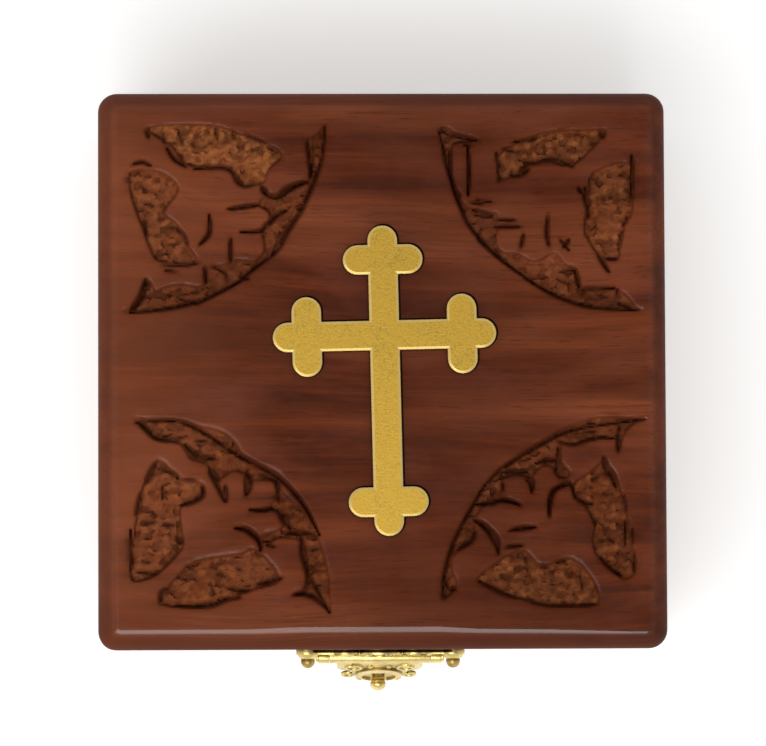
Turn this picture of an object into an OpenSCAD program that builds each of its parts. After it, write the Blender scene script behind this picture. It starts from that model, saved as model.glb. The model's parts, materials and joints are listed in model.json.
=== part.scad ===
// Square hardwood keepsake box with a carved lid, a brass cross and a swinging latch.
// The origin is under the middle of the box, on the surface it stands on.
// +X is to the right, the latch faces -Y, the hinges are at +Y.

/* [Box] */
// Width of the box, left to right
box_w = 102; // [98:1:140]
// Depth of the box, front to back
box_d = 100; // [96:1:140]
// Height of the base
base_h = 38; // [32:1:70]
// Height of the lid
lid_h = 16.8; // [16:0.2:26]
// Gap between the base and the closed lid
lid_gap = 0.2; // [0.16:0.02:0.4]
// Radius of the lid's round top edges and of the upright corners
edge_r = 3; // [2:0.25:4]

/* [Boards] */
// Thickness of the four base walls and of the lid's rails
wall_t = 8; // [7.5:0.25:10]
// Thickness of the carved top board
top_t = 8.8; // [6:0.2:9.4]
// Thickness of the bottom board
bottom_t = 5; // [3:0.5:8]
// How far the bottom board reaches under each wall
bottom_rebate = 4; // [2:0.5:5]

/* [Velvet] */
// Thickness of the velvet lining
lining_t = 1.2; // [0.8:0.1:2]
// Bare wood left above the lining of the base walls
lining_drop = 1.5; // [1:0.5:4]

/* [Cross] */
// Reach of the cross's head above the crossing
cross_head = 19.7; // [18:0.1:21]
// Reach of each arm from the crossing
cross_arm = 20; // [18:0.1:21]
// Reach of the stem below the crossing
cross_foot = 35.9; // [32:0.1:38]
// Width of the cross's bars and of its buds
cross_bar = 5.3; // [4:0.1:6]
// Span across the two side buds of each end
bud_span = 14.3; // [12:0.1:16]
// Distance from an end's tip to the middle of its side buds
bud_back = 6.1; // [5:0.1:7]
// Thickness of the brass
cross_t = 1.6; // [1.2:0.1:2.4]
// How far the brass stands above the lid
cross_proud = 0.5; // [0.3:0.1:0.8]
// Step round the brass's upper edge
cross_bevel = 0.25; // [0.1:0.05:0.4]
// Turn of the cross on the lid, anticlockwise
cross_turn = 1.2; // [0:0.1:3]
// Crossing's distance to the right of the middle of the lid
cross_x = 0.3; // [0:0.1:1]
// Crossing's distance behind the middle of the lid
cross_y = 6.1; // [4:0.1:8]

/* [Carving] */
// Reach of each carved leaf along the lid's edges
leaf_span = 41.3; // [36:0.1:42]
// Depth of the punched grounds
ground_deep = 1; // [0.5:0.1:2]
// Depth of the gouge cuts
gouge_deep = 0.6; // [0.3:0.1:1.2]
// Width of a gouge cut at its middle
gouge_w = 0.9; // [0.5:0.1:1.3]

/* [Hinges] */
// Length of each hinge
hinge_len = 18; // [14:1:24]
// Distance from the box's side to the middle of a hinge
hinge_inset = 24; // [21:0.5:30]
// Reach of a leaf from the hinge's axis
leaf_reach = 6; // [5.6:0.1:6.4]
// Thickness of a leaf
leaf_t = 0.75; // [0.6:0.05:1]
// Radius of the hinge's barrel
barrel_r = 1.4; // [1.2:0.1:1.6]
// Radius of the hinge's pin
pin_r = 0.6; // [0.5:0.05:0.7]
// Distance of the hinge's axis in from the back face
hinge_in = 1; // [0.8:0.1:1.2]
// How far the lid opens, in degrees
open_angle = 100; // [95:1:110]

/* [Nails] */
// Radius of a hinge nail's shank
nail_r = 0.5; // [0.4:0.05:0.6]
// Radius of a hinge nail's countersunk head
nail_head_r = 1.1; // [0.9:0.05:1.3]
// Length of a hinge nail
nail_len = 6; // [4:0.5:7]
// Distance between a hinge leaf's two nails
nail_space = 10.8; // [8:0.1:11]

/* [Latch] */
// Distance of the latch to the left of the middle
latch_left = 0.35; // [0:0.05:1]
// Height of the latch's axis above the lid's lower edge
latch_up = 2.4; // [2.2:0.1:3]
// Thickness of the latch's plates
plate_t = 0.9; // [0.7:0.05:1]
// Radius of the latch's barrel
latch_barrel_r = 1.15; // [1:0.05:1.3]
// Radius of the latch's pin
latch_pin_r = 0.5; // [0.4:0.05:0.6]
// Half the length of the hasp's barrel
hasp_half = 9.1; // [8.5:0.1:9.5]
// Length of each end knuckle of the latch plate
knuckle_len = 1.9; // [1.5:0.1:2.2]
// Half the distance between the two ears' nails
ear_x = 13.1; // [12.6:0.1:14]
// Radius of an ear's dome
ear_r = 2.1; // [1.8:0.05:2.2]
// Height of the ears above the latch's axis
ear_up = 3.6; // [3.4:0.1:4]
// Height of the latch plate's middle above the axis
plate_up = 8.4; // [8:0.1:9]
// Reach of the hasp from the axis to its knob
hasp_reach = 13.9; // [13.4:0.1:15]
// How far the hasp stands off at rest, in degrees
hasp_rest = 14; // [13.5:0.5:18]
// Distance of the staple below the latch's axis
staple_down = 9; // [8.6:0.1:9.2]
// Radius of the staple's loop, to the middle of its wire
staple_r = 1.9; // [1.7:0.05:1.9]
// Radius of the staple's wire
staple_wire = 0.7; // [0.5:0.05:0.7]
// Width of the catch plate
catch_w = 14.8; // [14:0.1:15.2]

/* [Hidden] */
$fn = 64;

// Room past a face, so that a cut goes right through it
over = 1;
// Clearance round the brass, the hinge leaves and the linings
fit = 0.1;
// Clearance of a turning pin or barrel
run = 0.05;
// Clearance between neighbouring knuckles
knuckle_gap = 0.1;
// Gap between a hinge's two leaves when the lid is closed
leaf_gap = 0.1;
// Clearance that is left when the chamfers meet, in degrees
stop_clear = 0.4;
// Room round a barrel in the wood and in the other leaf
barrel_room = 0.25;

box_h = base_h + lid_gap + lid_h;
inner_w = box_w - 2 * wall_t;
inner_d = box_d - 2 * wall_t;
lid_z = base_h + lid_gap;
top_z = box_h - top_t;
hinge_x = box_w / 2 - hinge_inset;
hinge_y = box_d / 2 - hinge_in;
hinge_z = base_h + lid_gap / 2;
chamfer_angle = (open_angle + stop_clear) / 2;
knuckles = 5;
knuckle_step = hinge_len / knuckles;
nail_y = -(leaf_reach + barrel_r) / 2;
head_deep = 0.5;
// Reach of the cut for the chamfer, past the back face
chamfer_cut = hinge_in + 3 * over;

// Clearance of the latch's barrel from the box's front face
barrel_off = 0.2;
latch_y = -box_d / 2 - latch_barrel_r - barrel_off;
latch_z = lid_z + latch_up;
staple_z = latch_z - staple_down;
pin_head_r = 0.9;
pin_head_t = 0.5;
pin_half = hasp_half + knuckle_gap + knuckle_len;
latch_nail_r = 0.6;
latch_head_r = 1.25;
latch_nail_len = 7;

// Lower edge of the latch plate, above the axis
barrel_clear = 0.5;
plate_low = latch_barrel_r + barrel_clear;
// The plate's middle panel: half its width, its height and the radius of its round head
panel_half = 8.6;
panel_h = 4.4;
panel_head_r = 4.2;
// The plate's shoulders, and the arms that carry the ears
shoulder_x = 6.2;
shoulder_rise = 1.6;
shoulder_up = ear_up + shoulder_rise;
shoulder_r = 2.4;
arm_half = 1.2;
// The raised boss on the panel
boss_r = 2;
boss_t = 0.5;

// The hasp's root with its two scrolls, its round middle and its lower end
scroll_x = 5;
scroll_down = 3.2;
scroll_r = 2.7;
root_h = 2.4;
mid_rise = 1.6;
hasp_mid_down = staple_down - mid_rise;
hasp_mid_r = 4.9;
low_rise = 3.3;
hasp_low_down = hasp_reach - low_rise;
hasp_low_r = 3.4;
hasp_tip_r = 1.3;
// The raised rim round the hasp's slot
rim_drop = 0.4;
rim_down = hasp_mid_down + rim_drop;
rim_r = 4.2;
rim_hole_r = 3.1;
rim_t = 0.5;

catch_t = 0.8;
catch_r = 4;
catch_lobe_r = 2.2;
catch_lobe_x = catch_w / 2 - catch_lobe_r;
catch_head_r = 1.1;
catch_head_up = 0.6;
catch_nail_len = 5;
staple_leg = 5;
slot_half_w = 1.1;
slot_half_h = 2.9;
knob_r = 1.45;
knob_out = 0.9;
rivet_r = 0.55;

rosewood = "#6b3a2c";
endgrain = "#5a2f24";
velvet = "#6d1422";
brass = "#d2a93f";
old_brass = "#c9b458";

// Each leaf is drawn in its own corner. A point is the distance in from the side of the lid
// and the distance in from its front or back edge.
// The leaves are carved by hand, so no two are alike.
leaf_drawn = 41.3;
leaf_k = leaf_span / leaf_drawn;
FRONT_LEFT = [-1, -1];
FRONT_RIGHT = [1, -1];
BACK_LEFT = [-1, 1];
BACK_RIGHT = [1, 1];

grounds = [
    [FRONT_LEFT, [[11, 33.8], [8.6, 30.7], [7.4, 26.4], [6.6, 21.7], [6, 17.4], [5.8, 13.8], [6.6, 12.2],
        [10.7, 13.5], [15.1, 18.1], [15.1, 21.2], [14.8, 25.1], [16.4, 26.1], [18.9, 27.4], [18.9, 29.5],
        [15.8, 30.2], [13.8, 31.3]]],
    [FRONT_LEFT, [[11, 8.1], [12, 10.4], [13.8, 12.8], [17.4, 15.8], [25.4, 17.1], [28.2, 17.9],
        [32.5, 12.5], [27.9, 10.7], [24.1, 9.4], [18.9, 7.6]]],
    [BACK_LEFT, [[5.8, 14.5], [6.1, 19.1], [7.9, 24.2], [9.4, 28.3], [11.2, 30.7], [17.6, 30.7],
        [16.1, 27.6], [14.3, 24], [12, 21.7], [14.6, 17.6], [11.2, 14.5]]],
    [BACK_LEFT, [[8.9, 6.5], [20, 6.1], [24.8, 7.5], [29.2, 9.1], [33.1, 11.4], [30.7, 14], [29.7, 16.5],
        [26.1, 16.8], [23.8, 13.7], [20, 13.6], [15.8, 13.2], [13.3, 9.8]]],
    [BACK_RIGHT, [[6.1, 13.2], [6.1, 21.7], [7.2, 23.5], [8.2, 28.1], [9, 30.4], [12, 29.9], [14.1, 26.8],
        [14.9, 25], [14.1, 19.1], [13.1, 14.6]]],
    [BACK_RIGHT, [[30, 16], [30, 11.4], [25.9, 9.1], [21.3, 7.3], [13.1, 7], [10.8, 7.5], [16.7, 13.4],
        [21.8, 12.4], [24.4, 13.2], [26.9, 15]]],
    [FRONT_RIGHT, [[11.5, 33.3], [9.5, 30.7], [8.2, 27.1], [7.2, 22.5], [6.4, 17.4], [6, 13.5],
        [8.2, 12.2], [10.2, 14], [12.8, 16.3], [13.8, 19.4], [13.3, 22], [15.1, 25.6], [16.9, 27.7],
        [16.7, 29.7], [14.1, 31.5]]],
    [FRONT_RIGHT, [[34.4, 12.5], [32.1, 11.2], [29.5, 9.9], [25.7, 8.6], [20.5, 7.6], [15.4, 7.5],
        [12.8, 8.1], [13.3, 11.7], [17.4, 16.1], [22.8, 14.7], [25.9, 17.6], [29.5, 16.3]]]
];

gouges = [
    [FRONT_LEFT, [[6.9, 40.6], [15.6, 40.5], [25.4, 34.6], [32.5, 30.5], [36.9, 25.6], [39.5, 20.5]]],
    [FRONT_LEFT, [[35.9, 20.5], [36.7, 18.7], [37.7, 13.5], [39, 11], [41.3, 6.6]]],
    [FRONT_LEFT, [[7.4, 40.5], [9.7, 38.4], [11.2, 37.7], [15.1, 37.7]]],
    [FRONT_LEFT, [[15.3, 36.9], [17.6, 35.1], [21.5, 34.1]]],
    [FRONT_LEFT, [[20, 32], [22.8, 26.4]]],
    [FRONT_LEFT, [[26.6, 32], [26.4, 27.4]]],
    [FRONT_LEFT, [[27.4, 24.8], [31.5, 25.1], [33.8, 23.3], [34.9, 20.7], [39, 21]]],
    [FRONT_LEFT, [[24.6, 21.7], [26.6, 21.2], [28.7, 19.4], [29.2, 17.9]]],
    [BACK_LEFT, [[40.8, 6.2], [40, 12.7], [36.9, 20.4], [33.8, 25.5], [32, 28.6], [27.9, 31.9], [24.1, 35]]],
    [BACK_LEFT, [[26, 33.9], [18.9, 37.3], [12.5, 38.9], [5.8, 39.7]]],
    [BACK_LEFT, [[23.3, 21.2], [29, 20.4]]],
    [BACK_LEFT, [[20, 22.2], [20, 25.5], [18.2, 27.6]]],
    [BACK_LEFT, [[23.8, 26.3], [23.8, 30.9]]],
    [BACK_LEFT, [[25.6, 25.3], [29.2, 25.1], [30.5, 23.7], [33.8, 21.2]]],
    [BACK_LEFT, [[19.2, 31.4], [19.4, 34.5]]],
    [BACK_LEFT, [[29.5, 18.1], [32, 19.1], [34.3, 17.3], [37.7, 16.3]]],
    [BACK_RIGHT, [[40.8, 7], [38.5, 16], [36.7, 21.2], [34.7, 25], [29.5, 30.4], [23.9, 34.5]]],
    [BACK_RIGHT, [[25.6, 33.6], [20.3, 36.6], [15.4, 38.4], [11.5, 39], [5.4, 39.5]]],
    [BACK_RIGHT, [[21.3, 22.2], [21.5, 25.8], [21, 28.1]]],
    [BACK_RIGHT, [[25.7, 25.8], [26.2, 28.3]]],
    [BACK_RIGHT, [[34.7, 22.2], [31.1, 22.7]]],
    [BACK_RIGHT, [[19.2, 32.5], [16.7, 32.2], [15.6, 35.3]]],
    [BACK_RIGHT, [[15.6, 35.7], [9.5, 35.5]]],
    [FRONT_RIGHT, [[4.3, 41], [14.1, 39.7], [18.5, 38.7], [24.4, 35.6], [30, 32], [33.9, 27.9]]],
    [FRONT_RIGHT, [[32.8, 29.4], [36.7, 22.5], [39, 17.4], [40.3, 12.2], [40.1, 9.2]]],
    [FRONT_RIGHT, [[30.6, 30.2], [27.2, 31.3], [24.4, 30.2], [24.4, 27.9]]],
    [FRONT_RIGHT, [[34.4, 25.9], [29.5, 26.6], [26.4, 25.6]]],
    [FRONT_RIGHT, [[21.3, 23.5], [21, 26.6], [20, 28.7], [17.7, 29.5], [16.7, 27.1]]],
    [FRONT_RIGHT, [[28, 21.2], [23.9, 21.7]]],
    [FRONT_RIGHT, [[33.9, 22.5], [32.1, 20.7], [30.5, 17.6]]]
];

// A point of a corner's drawing, on the lid
function on_lid(corner, p) =
    [corner[0] * (box_w / 2 - leaf_k * p[0]), corner[1] * (box_d / 2 - leaf_k * p[1])];

// One point of a smooth curve between b and c, with a before them and d after
function between(a, b, c, d, t) =
    0.5 * (2 * b + (c - a) * t + (2 * a - 5 * b + 4 * c - d) * t * t
        + (3 * b - a - 3 * c + d) * t * t * t);

// A closed smooth curve through the points
function round_outline(p, cuts = 3) = [
    for (i = [0 : len(p) - 1], j = [0 : cuts - 1])
        between(p[(i + len(p) - 1) % len(p)], p[i], p[(i + 1) % len(p)], p[(i + 2) % len(p)], j / cuts)
];

// An open smooth curve through the points
function smooth_line(p, cuts = 3) = concat([
    for (i = [0 : len(p) - 2], j = [0 : cuts - 1])
        between(p[max(i - 1, 0)], p[i], p[i + 1], p[min(i + 2, len(p) - 1)], j / cuts)
], [p[len(p) - 1]]);

// The direction across a line at one of its points
function across(p, i) =
    let (d = p[min(i + 1, len(p) - 1)] - p[max(i - 1, 0)]) [-d[1], d[0]] / norm(d);

// One side of a gouge cut, which is widest in the middle and comes to a point at each end
function gouge_side(p, side) = [
    for (i = [0 : len(p) - 1])
        p[i] + side * gouge_w / 2 * sqrt(sin(180 * i / (len(p) - 1))) * across(p, i)
];

module gouge_shape(p) {
    n = len(p);
    left = gouge_side(p, 1);
    right = gouge_side(p, -1);
    polygon(concat(left, [for (i = [n - 2 : -1 : 1]) right[i]]));
}

module carving() {
    translate([0, 0, box_h - ground_deep])
        for (g = grounds)
            linear_extrude(ground_deep + over)
                polygon(round_outline([for (p = g[1]) on_lid(g[0], p)]));
    translate([0, 0, box_h - gouge_deep])
        for (g = gouges)
            linear_extrude(gouge_deep + over)
                gouge_shape(smooth_line([for (p = g[1]) on_lid(g[0], p)]));
}

// A rod along X, centred on the line through y and z
module rod_x(r, len) {
    rotate([0, 90, 0]) cylinder(r = r, h = len, center = true);
}

// A rod along Y from y = 0 to y = len
module rod_y(r, len) {
    rotate([-90, 0, 0]) cylinder(r = r, h = len);
}

// A block with round upright corners
module round_corners(w, d, h, r) {
    translate([-w / 2 + r, -d / 2, 0]) cube([w - 2 * r, d, h]);
    translate([-w / 2, -d / 2 + r, 0]) cube([w, d - 2 * r, h]);
    for (sx = [-1, 1], sy = [-1, 1])
        translate([sx * (w / 2 - r), sy * (d / 2 - r), 0]) cylinder(r = r, h = h);
}

// A block with round upright corners and a round top edge
module round_top(w, d, h, r) {
    round_corners(w, d, h - r, r);
    translate([-w / 2 + r, -d / 2 + r, 0]) cube([w - 2 * r, d - 2 * r, h]);
    for (sx = [-1, 1], sy = [-1, 1])
        translate([sx * (w / 2 - r), sy * (d / 2 - r), h - r]) sphere(r = r);
    for (sy = [-1, 1])
        translate([0, sy * (d / 2 - r), h - r]) rod_x(r, w - 2 * r);
    for (sx = [-1, 1])
        translate([sx * (w / 2 - r), -d / 2 + r, h - r]) rod_y(r, d - 2 * r);
}

// The slice of the box that the front wall (side = -1) or the back wall (side = 1) takes up
module wall_slice(side) {
    y0 = side < 0 ? -box_d / 2 - over : box_d / 2 - wall_t;
    translate([-box_w / 2 - over, y0, -over])
        cube([box_w + 2 * over, wall_t + over, box_h + 2 * over]);
}

// The seat of the bottom board, cut out of all four walls
module bottom_seat() {
    translate([-inner_w / 2 - bottom_rebate, -inner_d / 2 - bottom_rebate, -over])
        cube([inner_w + 2 * bottom_rebate, inner_d + 2 * bottom_rebate, bottom_t + over]);
}

// The two hinges' places on the axis
module at_hinges() {
    for (side = [-1, 1])
        translate([side * hinge_x, hinge_y, hinge_z]) children();
}

// Wood cut from the back of the base (side = -1) or of the lid (side = 1) for the hinges
module hinge_cuts(side) {
    // The long chamfer that stops the lid
    translate([-box_w / 2 - over, hinge_y, hinge_z])
        rotate([90, 0, 90])
            linear_extrude(box_w + 2 * over)
                polygon([
                    [0, 0], [chamfer_cut, side * chamfer_cut * tan(chamfer_angle)],
                    [chamfer_cut, -side * chamfer_cut], [0, -side * chamfer_cut]
                ]);
    at_hinges() {
        // Seat of the leaf
        seat_z = leaf_gap / 2 + leaf_t;
        translate([-hinge_len / 2 - fit, -leaf_reach - fit, side < 0 ? -seat_z : 0])
            cube([hinge_len + 2 * fit, leaf_reach + fit, seat_z]);
        // Room for the barrel to turn in
        rod_x(barrel_r + barrel_room, hinge_len + 2 * barrel_room);
        // Holes of the nails
        for (x = [-1, 1])
            translate([x * nail_space / 2, nail_y, side < 0 ? -nail_len - leaf_gap / 2 : 0])
                cylinder(r = nail_r, h = nail_len + leaf_gap / 2);
    }
}

module base_front_wall() {
    color(rosewood) difference() {
        intersection() {
            round_corners(box_w, box_d, base_h, edge_r);
            wall_slice(-1);
        }
        bottom_seat();
        catch_holes();
    }
}

module base_back_wall() {
    color(rosewood) difference() {
        intersection() {
            round_corners(box_w, box_d, base_h, edge_r);
            wall_slice(1);
        }
        bottom_seat();
        hinge_cuts(-1);
    }
}

module base_side_wall(side) {
    color(rosewood) difference() {
        translate([side < 0 ? -box_w / 2 : inner_w / 2, -inner_d / 2, 0]) cube([wall_t, inner_d, base_h]);
        bottom_seat();
    }
}

module base_left_wall() {
    base_side_wall(-1);
}

module base_right_wall() {
    base_side_wall(1);
}

module base_bottom_panel() {
    w = inner_w + 2 * bottom_rebate;
    d = inner_d + 2 * bottom_rebate;
    color(endgrain) translate([-w / 2, -d / 2, 0]) cube([w, d, bottom_t]);
}

module base_floor_lining() {
    color(velvet) translate([-inner_w / 2, -inner_d / 2, bottom_t]) cube([inner_w, inner_d, lining_t]);
}

// A strip of velvet on a front or back wall, from the floor's velvet up to its bare edge
module long_lining(side) {
    z0 = bottom_t + lining_t;
    color(velvet)
        translate([-inner_w / 2, side < 0 ? -inner_d / 2 : inner_d / 2 - lining_t, z0])
            cube([inner_w, lining_t, base_h - lining_drop - z0]);
}

// A strip of velvet on a side wall, between the long strips
module short_lining(side) {
    z0 = bottom_t + lining_t;
    d = inner_d - 2 * lining_t;
    color(velvet)
        translate([side < 0 ? -inner_w / 2 : inner_w / 2 - lining_t, -d / 2, z0])
            cube([lining_t, d, base_h - lining_drop - z0]);
}

module base_front_lining() {
    long_lining(-1);
}

module base_back_lining() {
    long_lining(1);
}

module base_left_lining() {
    short_lining(-1);
}

module base_right_lining() {
    short_lining(1);
}

// The cross's outline, drawn in by the inset all round
module cross_outline(inset) {
    bar = cross_bar - 2 * inset;
    // Each end as [turn, reach]
    for (e = [[0, cross_head], [90, cross_arm], [180, cross_foot], [270, cross_arm]])
        rotate(e[0]) {
            translate([-bar / 2, -bar / 2]) square([bar, e[1] - cross_bar / 2 + bar / 2]);
            translate([0, e[1] - cross_bar / 2]) circle(r = bar / 2);
            side = (bud_span - cross_bar) / 2;
            translate([-side, e[1] - bud_back - bar / 2]) square([2 * side, bar]);
            for (s = [-1, 1]) translate([s * side, e[1] - bud_back]) circle(r = bar / 2);
        }
}

module on_cross() {
    translate([cross_x, cross_y, 0]) rotate(cross_turn) children();
}

module brass_cross() {
    z0 = box_h + cross_proud - cross_t;
    color(brass) on_cross() {
        translate([0, 0, z0]) linear_extrude(cross_t - cross_bevel) cross_outline(0);
        translate([0, 0, z0]) linear_extrude(cross_t) cross_outline(cross_bevel);
    }
}

module lid_top_panel() {
    color(rosewood) difference() {
        intersection() {
            translate([0, 0, lid_z]) round_top(box_w, box_d, lid_h, edge_r);
            translate([-box_w, -box_d, top_z]) cube([2 * box_w, 2 * box_d, top_t + over]);
        }
        carving();
        on_cross() translate([0, 0, box_h + cross_proud - cross_t])
            linear_extrude(cross_t) cross_outline(-fit);
    }
}

// The blank of a front or back rail, below the top board
module rail_blank(side) {
    intersection() {
        translate([0, 0, lid_z]) round_corners(box_w, box_d, lid_h - top_t, edge_r);
        wall_slice(side);
    }
}

module lid_front_rail() {
    color(rosewood) difference() {
        rail_blank(-1);
        at_latch() for (x = [-1, 1])
            translate([x * ear_x, 0, ear_up]) rod_y(latch_nail_r, latch_nail_len);
    }
}

module lid_back_rail() {
    color(rosewood) difference() {
        rail_blank(1);
        hinge_cuts(1);
    }
}

module lid_side_rail(side) {
    color(rosewood)
        translate([side < 0 ? -box_w / 2 : inner_w / 2, -inner_d / 2, lid_z])
            cube([wall_t, inner_d, lid_h - top_t]);
}

module lid_left_rail() {
    lid_side_rail(-1);
}

module lid_right_rail() {
    lid_side_rail(1);
}

module lid_lining() {
    color(velvet)
        translate([-inner_w / 2, -inner_d / 2, top_z - lining_t]) cube([inner_w, inner_d, lining_t]);
}

// The shape of a countersunk nail, with its head's face at z = 0 and its point below
module countersunk_nail(len) {
    translate([0, 0, -len]) cylinder(r = nail_r, h = len);
    translate([0, 0, -head_deep]) cylinder(r1 = nail_r, r2 = nail_head_r, h = head_deep);
}

// The two nails of the base's leaf (side = -1) or of the lid's leaf (side = 1)
module leaf_nails(side) {
    for (x = [-1, 1])
        translate([x * nail_space / 2, nail_y, side * leaf_gap / 2])
            mirror([0, 0, side < 0 ? 0 : 1]) countersunk_nail(nail_len);
}

// Middle of a knuckle along the hinge
function knuckle_x(i) = (i + 0.5) * knuckle_step - hinge_len / 2;

// One leaf: the base's (side = -1) has knuckles 0, 2 and 4, the lid's (side = 1) has 1 and 3
module hinge_leaf(side) {
    first = side < 0 ? 0 : 1;
    bore = side < 0 ? pin_r : pin_r + run;
    color(brass) difference() {
        union() {
            translate([-hinge_len / 2, -leaf_reach, side < 0 ? -leaf_gap / 2 - leaf_t : leaf_gap / 2])
                cube([hinge_len, leaf_reach, leaf_t]);
            for (i = [first : 2 : knuckles - 1])
                translate([knuckle_x(i), 0, 0]) rod_x(barrel_r, knuckle_step);
        }
        for (i = [1 - first : 2 : knuckles - 1])
            translate([knuckle_x(i), 0, 0]) rod_x(barrel_r + barrel_room, knuckle_step + 2 * knuckle_gap);
        rod_x(bore, hinge_len + 2 * over);
        leaf_nails(side);
    }
}

module hinge_left_base_leaf() {
    translate([-hinge_x, hinge_y, hinge_z]) hinge_leaf(-1);
}

module hinge_left_lid_leaf() {
    translate([-hinge_x, hinge_y, hinge_z]) hinge_leaf(1);
}

module hinge_right_base_leaf() {
    translate([hinge_x, hinge_y, hinge_z]) hinge_leaf(-1);
}

module hinge_right_lid_leaf() {
    translate([hinge_x, hinge_y, hinge_z]) hinge_leaf(1);
}

module hinge_left_pin() {
    color(brass) translate([-hinge_x, hinge_y, hinge_z]) rod_x(pin_r, hinge_len);
}

module hinge_right_pin() {
    color(brass) translate([hinge_x, hinge_y, hinge_z]) rod_x(pin_r, hinge_len);
}

module hinge_base_nails() {
    color(brass) at_hinges() leaf_nails(-1);
}

module hinge_lid_nails() {
    color(brass) at_hinges() leaf_nails(1);
}

// The latch is drawn from its axis for height, from the box's front face for depth,
// and from its own middle for width
module at_latch() {
    translate([-latch_left, -box_d / 2, latch_z]) children();
}

// The latch's axis, seen from the same place
module at_latch_axis() {
    translate([-latch_left, latch_y, latch_z]) children();
}

// Extrudes a front view by t out of the box's front face
module front_plate(t) {
    rotate([90, 0, 0]) linear_extrude(t) children();
}

// Everything in front of the box's front face
module in_front() {
    translate([-box_w / 2, -box_d / 2, -box_h]) cube([box_w, box_d / 2, 2 * box_h]);
}

// A round head, cut flat where it meets the wood
module round_head(r, y) {
    intersection() {
        translate([0, y, 0]) sphere(r = r);
        in_front();
    }
}

module latch_nail() {
    round_head(latch_head_r, -ear_r);
    translate([0, -ear_r, 0]) rod_y(latch_nail_r, ear_r + latch_nail_len);
}

module at_ears() {
    at_latch() for (x = [-1, 1]) translate([x * ear_x, 0, ear_up]) children();
}

module latch_outline() {
    translate([-panel_half, plate_low]) square([2 * panel_half, panel_h]);
    // The round head, cut off level with the panel's lower edge
    intersection() {
        translate([0, plate_up - panel_head_r]) circle(r = panel_head_r);
        translate([-panel_half, plate_low]) square([2 * panel_half, plate_up]);
    }
    for (x = [-1, 1]) {
        translate([x * shoulder_x, shoulder_up]) circle(r = shoulder_r);
        translate([x > 0 ? shoulder_x : -ear_x, ear_up - arm_half])
            square([ear_x - shoulder_x, 2 * arm_half]);
        translate([x * ear_x, ear_up]) circle(r = ear_r);
    }
}

module latch_plate() {
    color(old_brass) difference() {
        union() {
            at_latch() front_plate(plate_t) latch_outline();
            at_ears() round_head(ear_r, 0);
            at_latch() translate([0, 0, plate_up - panel_head_r])
                rotate([90, 0, 0]) cylinder(r = boss_r, h = plate_t + boss_t);
            for (x = [-1, 1]) {
                mid = x * (hasp_half + knuckle_gap + knuckle_len / 2);
                at_latch_axis() translate([mid, 0, 0]) rod_x(latch_barrel_r, knuckle_len);
                at_latch() translate([mid - knuckle_len / 2, -plate_t, 0])
                    cube([knuckle_len, plate_t, ear_up]);
            }
        }
        at_latch_axis() rod_x(latch_pin_r, 2 * pin_half + 2 * over);
        at_ears() latch_nail();
    }
}

module latch_pin() {
    color(old_brass) at_latch_axis() {
        rod_x(latch_pin_r, 2 * pin_half);
        for (x = [-1, 1]) translate([x * (pin_half + pin_head_t / 2), 0, 0]) rod_x(pin_head_r, pin_head_t);
    }
}

module latch_nails() {
    color(old_brass) at_ears() latch_nail();
}

module hasp_outline() {
    root_half = scroll_x + scroll_r;
    translate([-root_half, -root_h]) square([2 * root_half, root_h]);
    for (x = [-1, 1]) translate([x * scroll_x, -scroll_down]) circle(r = scroll_r);
    translate([0, -hasp_mid_down]) circle(r = hasp_mid_r);
    translate([0, -hasp_low_down]) circle(r = hasp_low_r);
    translate([-hasp_tip_r, -hasp_reach]) square([2 * hasp_tip_r, hasp_reach - hasp_low_down]);
    translate([0, -hasp_reach]) circle(r = hasp_tip_r);
}

// The hasp hangs straight down here, drawn from the latch's axis
module hanging_hasp() {
    face = latch_barrel_r;
    difference() {
        union() {
            rod_x(latch_barrel_r, 2 * hasp_half);
            translate([0, -face + plate_t, 0]) front_plate(plate_t) hasp_outline();
            translate([0, -face, 0]) front_plate(rim_t) difference() {
                translate([0, -rim_down]) circle(r = rim_r);
                translate([0, -staple_down]) circle(r = rim_hole_r);
            }
        }
        rod_x(latch_pin_r + run, 2 * hasp_half + 2 * over);
        translate([-slot_half_w, -face - over, -staple_down - slot_half_h])
            cube([2 * slot_half_w, plate_t + 2 * over, 2 * slot_half_h]);
        translate([0, over, -hasp_reach]) rotate([90, 0, 0])
            cylinder(r = rivet_r, h = face + 2 * over);
    }
}

module latch_hasp() {
    color(old_brass) at_latch_axis() rotate([-hasp_rest, 0, 0]) hanging_hasp();
}

// A small ball on a rivet through the end of the hasp
module hasp_knob() {
    face = latch_barrel_r;
    color(old_brass) at_latch_axis() rotate([-hasp_rest, 0, 0]) translate([0, 0, -hasp_reach]) {
        difference() {
            translate([0, -face - knob_out, 0]) sphere(r = knob_r);
            translate([-knob_r, -face, -knob_r]) cube(2 * knob_r);
        }
        translate([0, -face + plate_t, 0]) rotate([90, 0, 0]) cylinder(r = rivet_r, h = plate_t + knob_out);
    }
}

module at_catch() {
    translate([-latch_left, -box_d / 2, staple_z]) children();
}

// A nail whose round head sits on the catch plate
module catch_nail() {
    translate([0, -catch_t, 0]) {
        round_head(catch_head_r, catch_head_r - catch_head_up);
        rod_y(nail_r, catch_t + catch_nail_len);
    }
}

module at_catch_nails() {
    at_catch() for (x = [-1, 1]) translate([x * catch_lobe_x, 0, 0]) children();
}

// The staple's two legs, from y0 in front of the box's front face to their ends in the wood
module staple_legs(y0) {
    for (z = [-1, 1]) translate([0, -y0, z * staple_r]) rod_y(staple_wire, y0 + staple_leg);
}

// The catch nails' holes, from y0 in front of the box's front face
module nail_holes(y0) {
    at_catch_nails() translate([0, -y0, 0]) rod_y(nail_r, y0 + catch_nail_len);
}

// Holes in the front wall for the staple's legs and the nails
module catch_holes() {
    at_catch() staple_legs(over);
    nail_holes(over);
}

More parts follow.
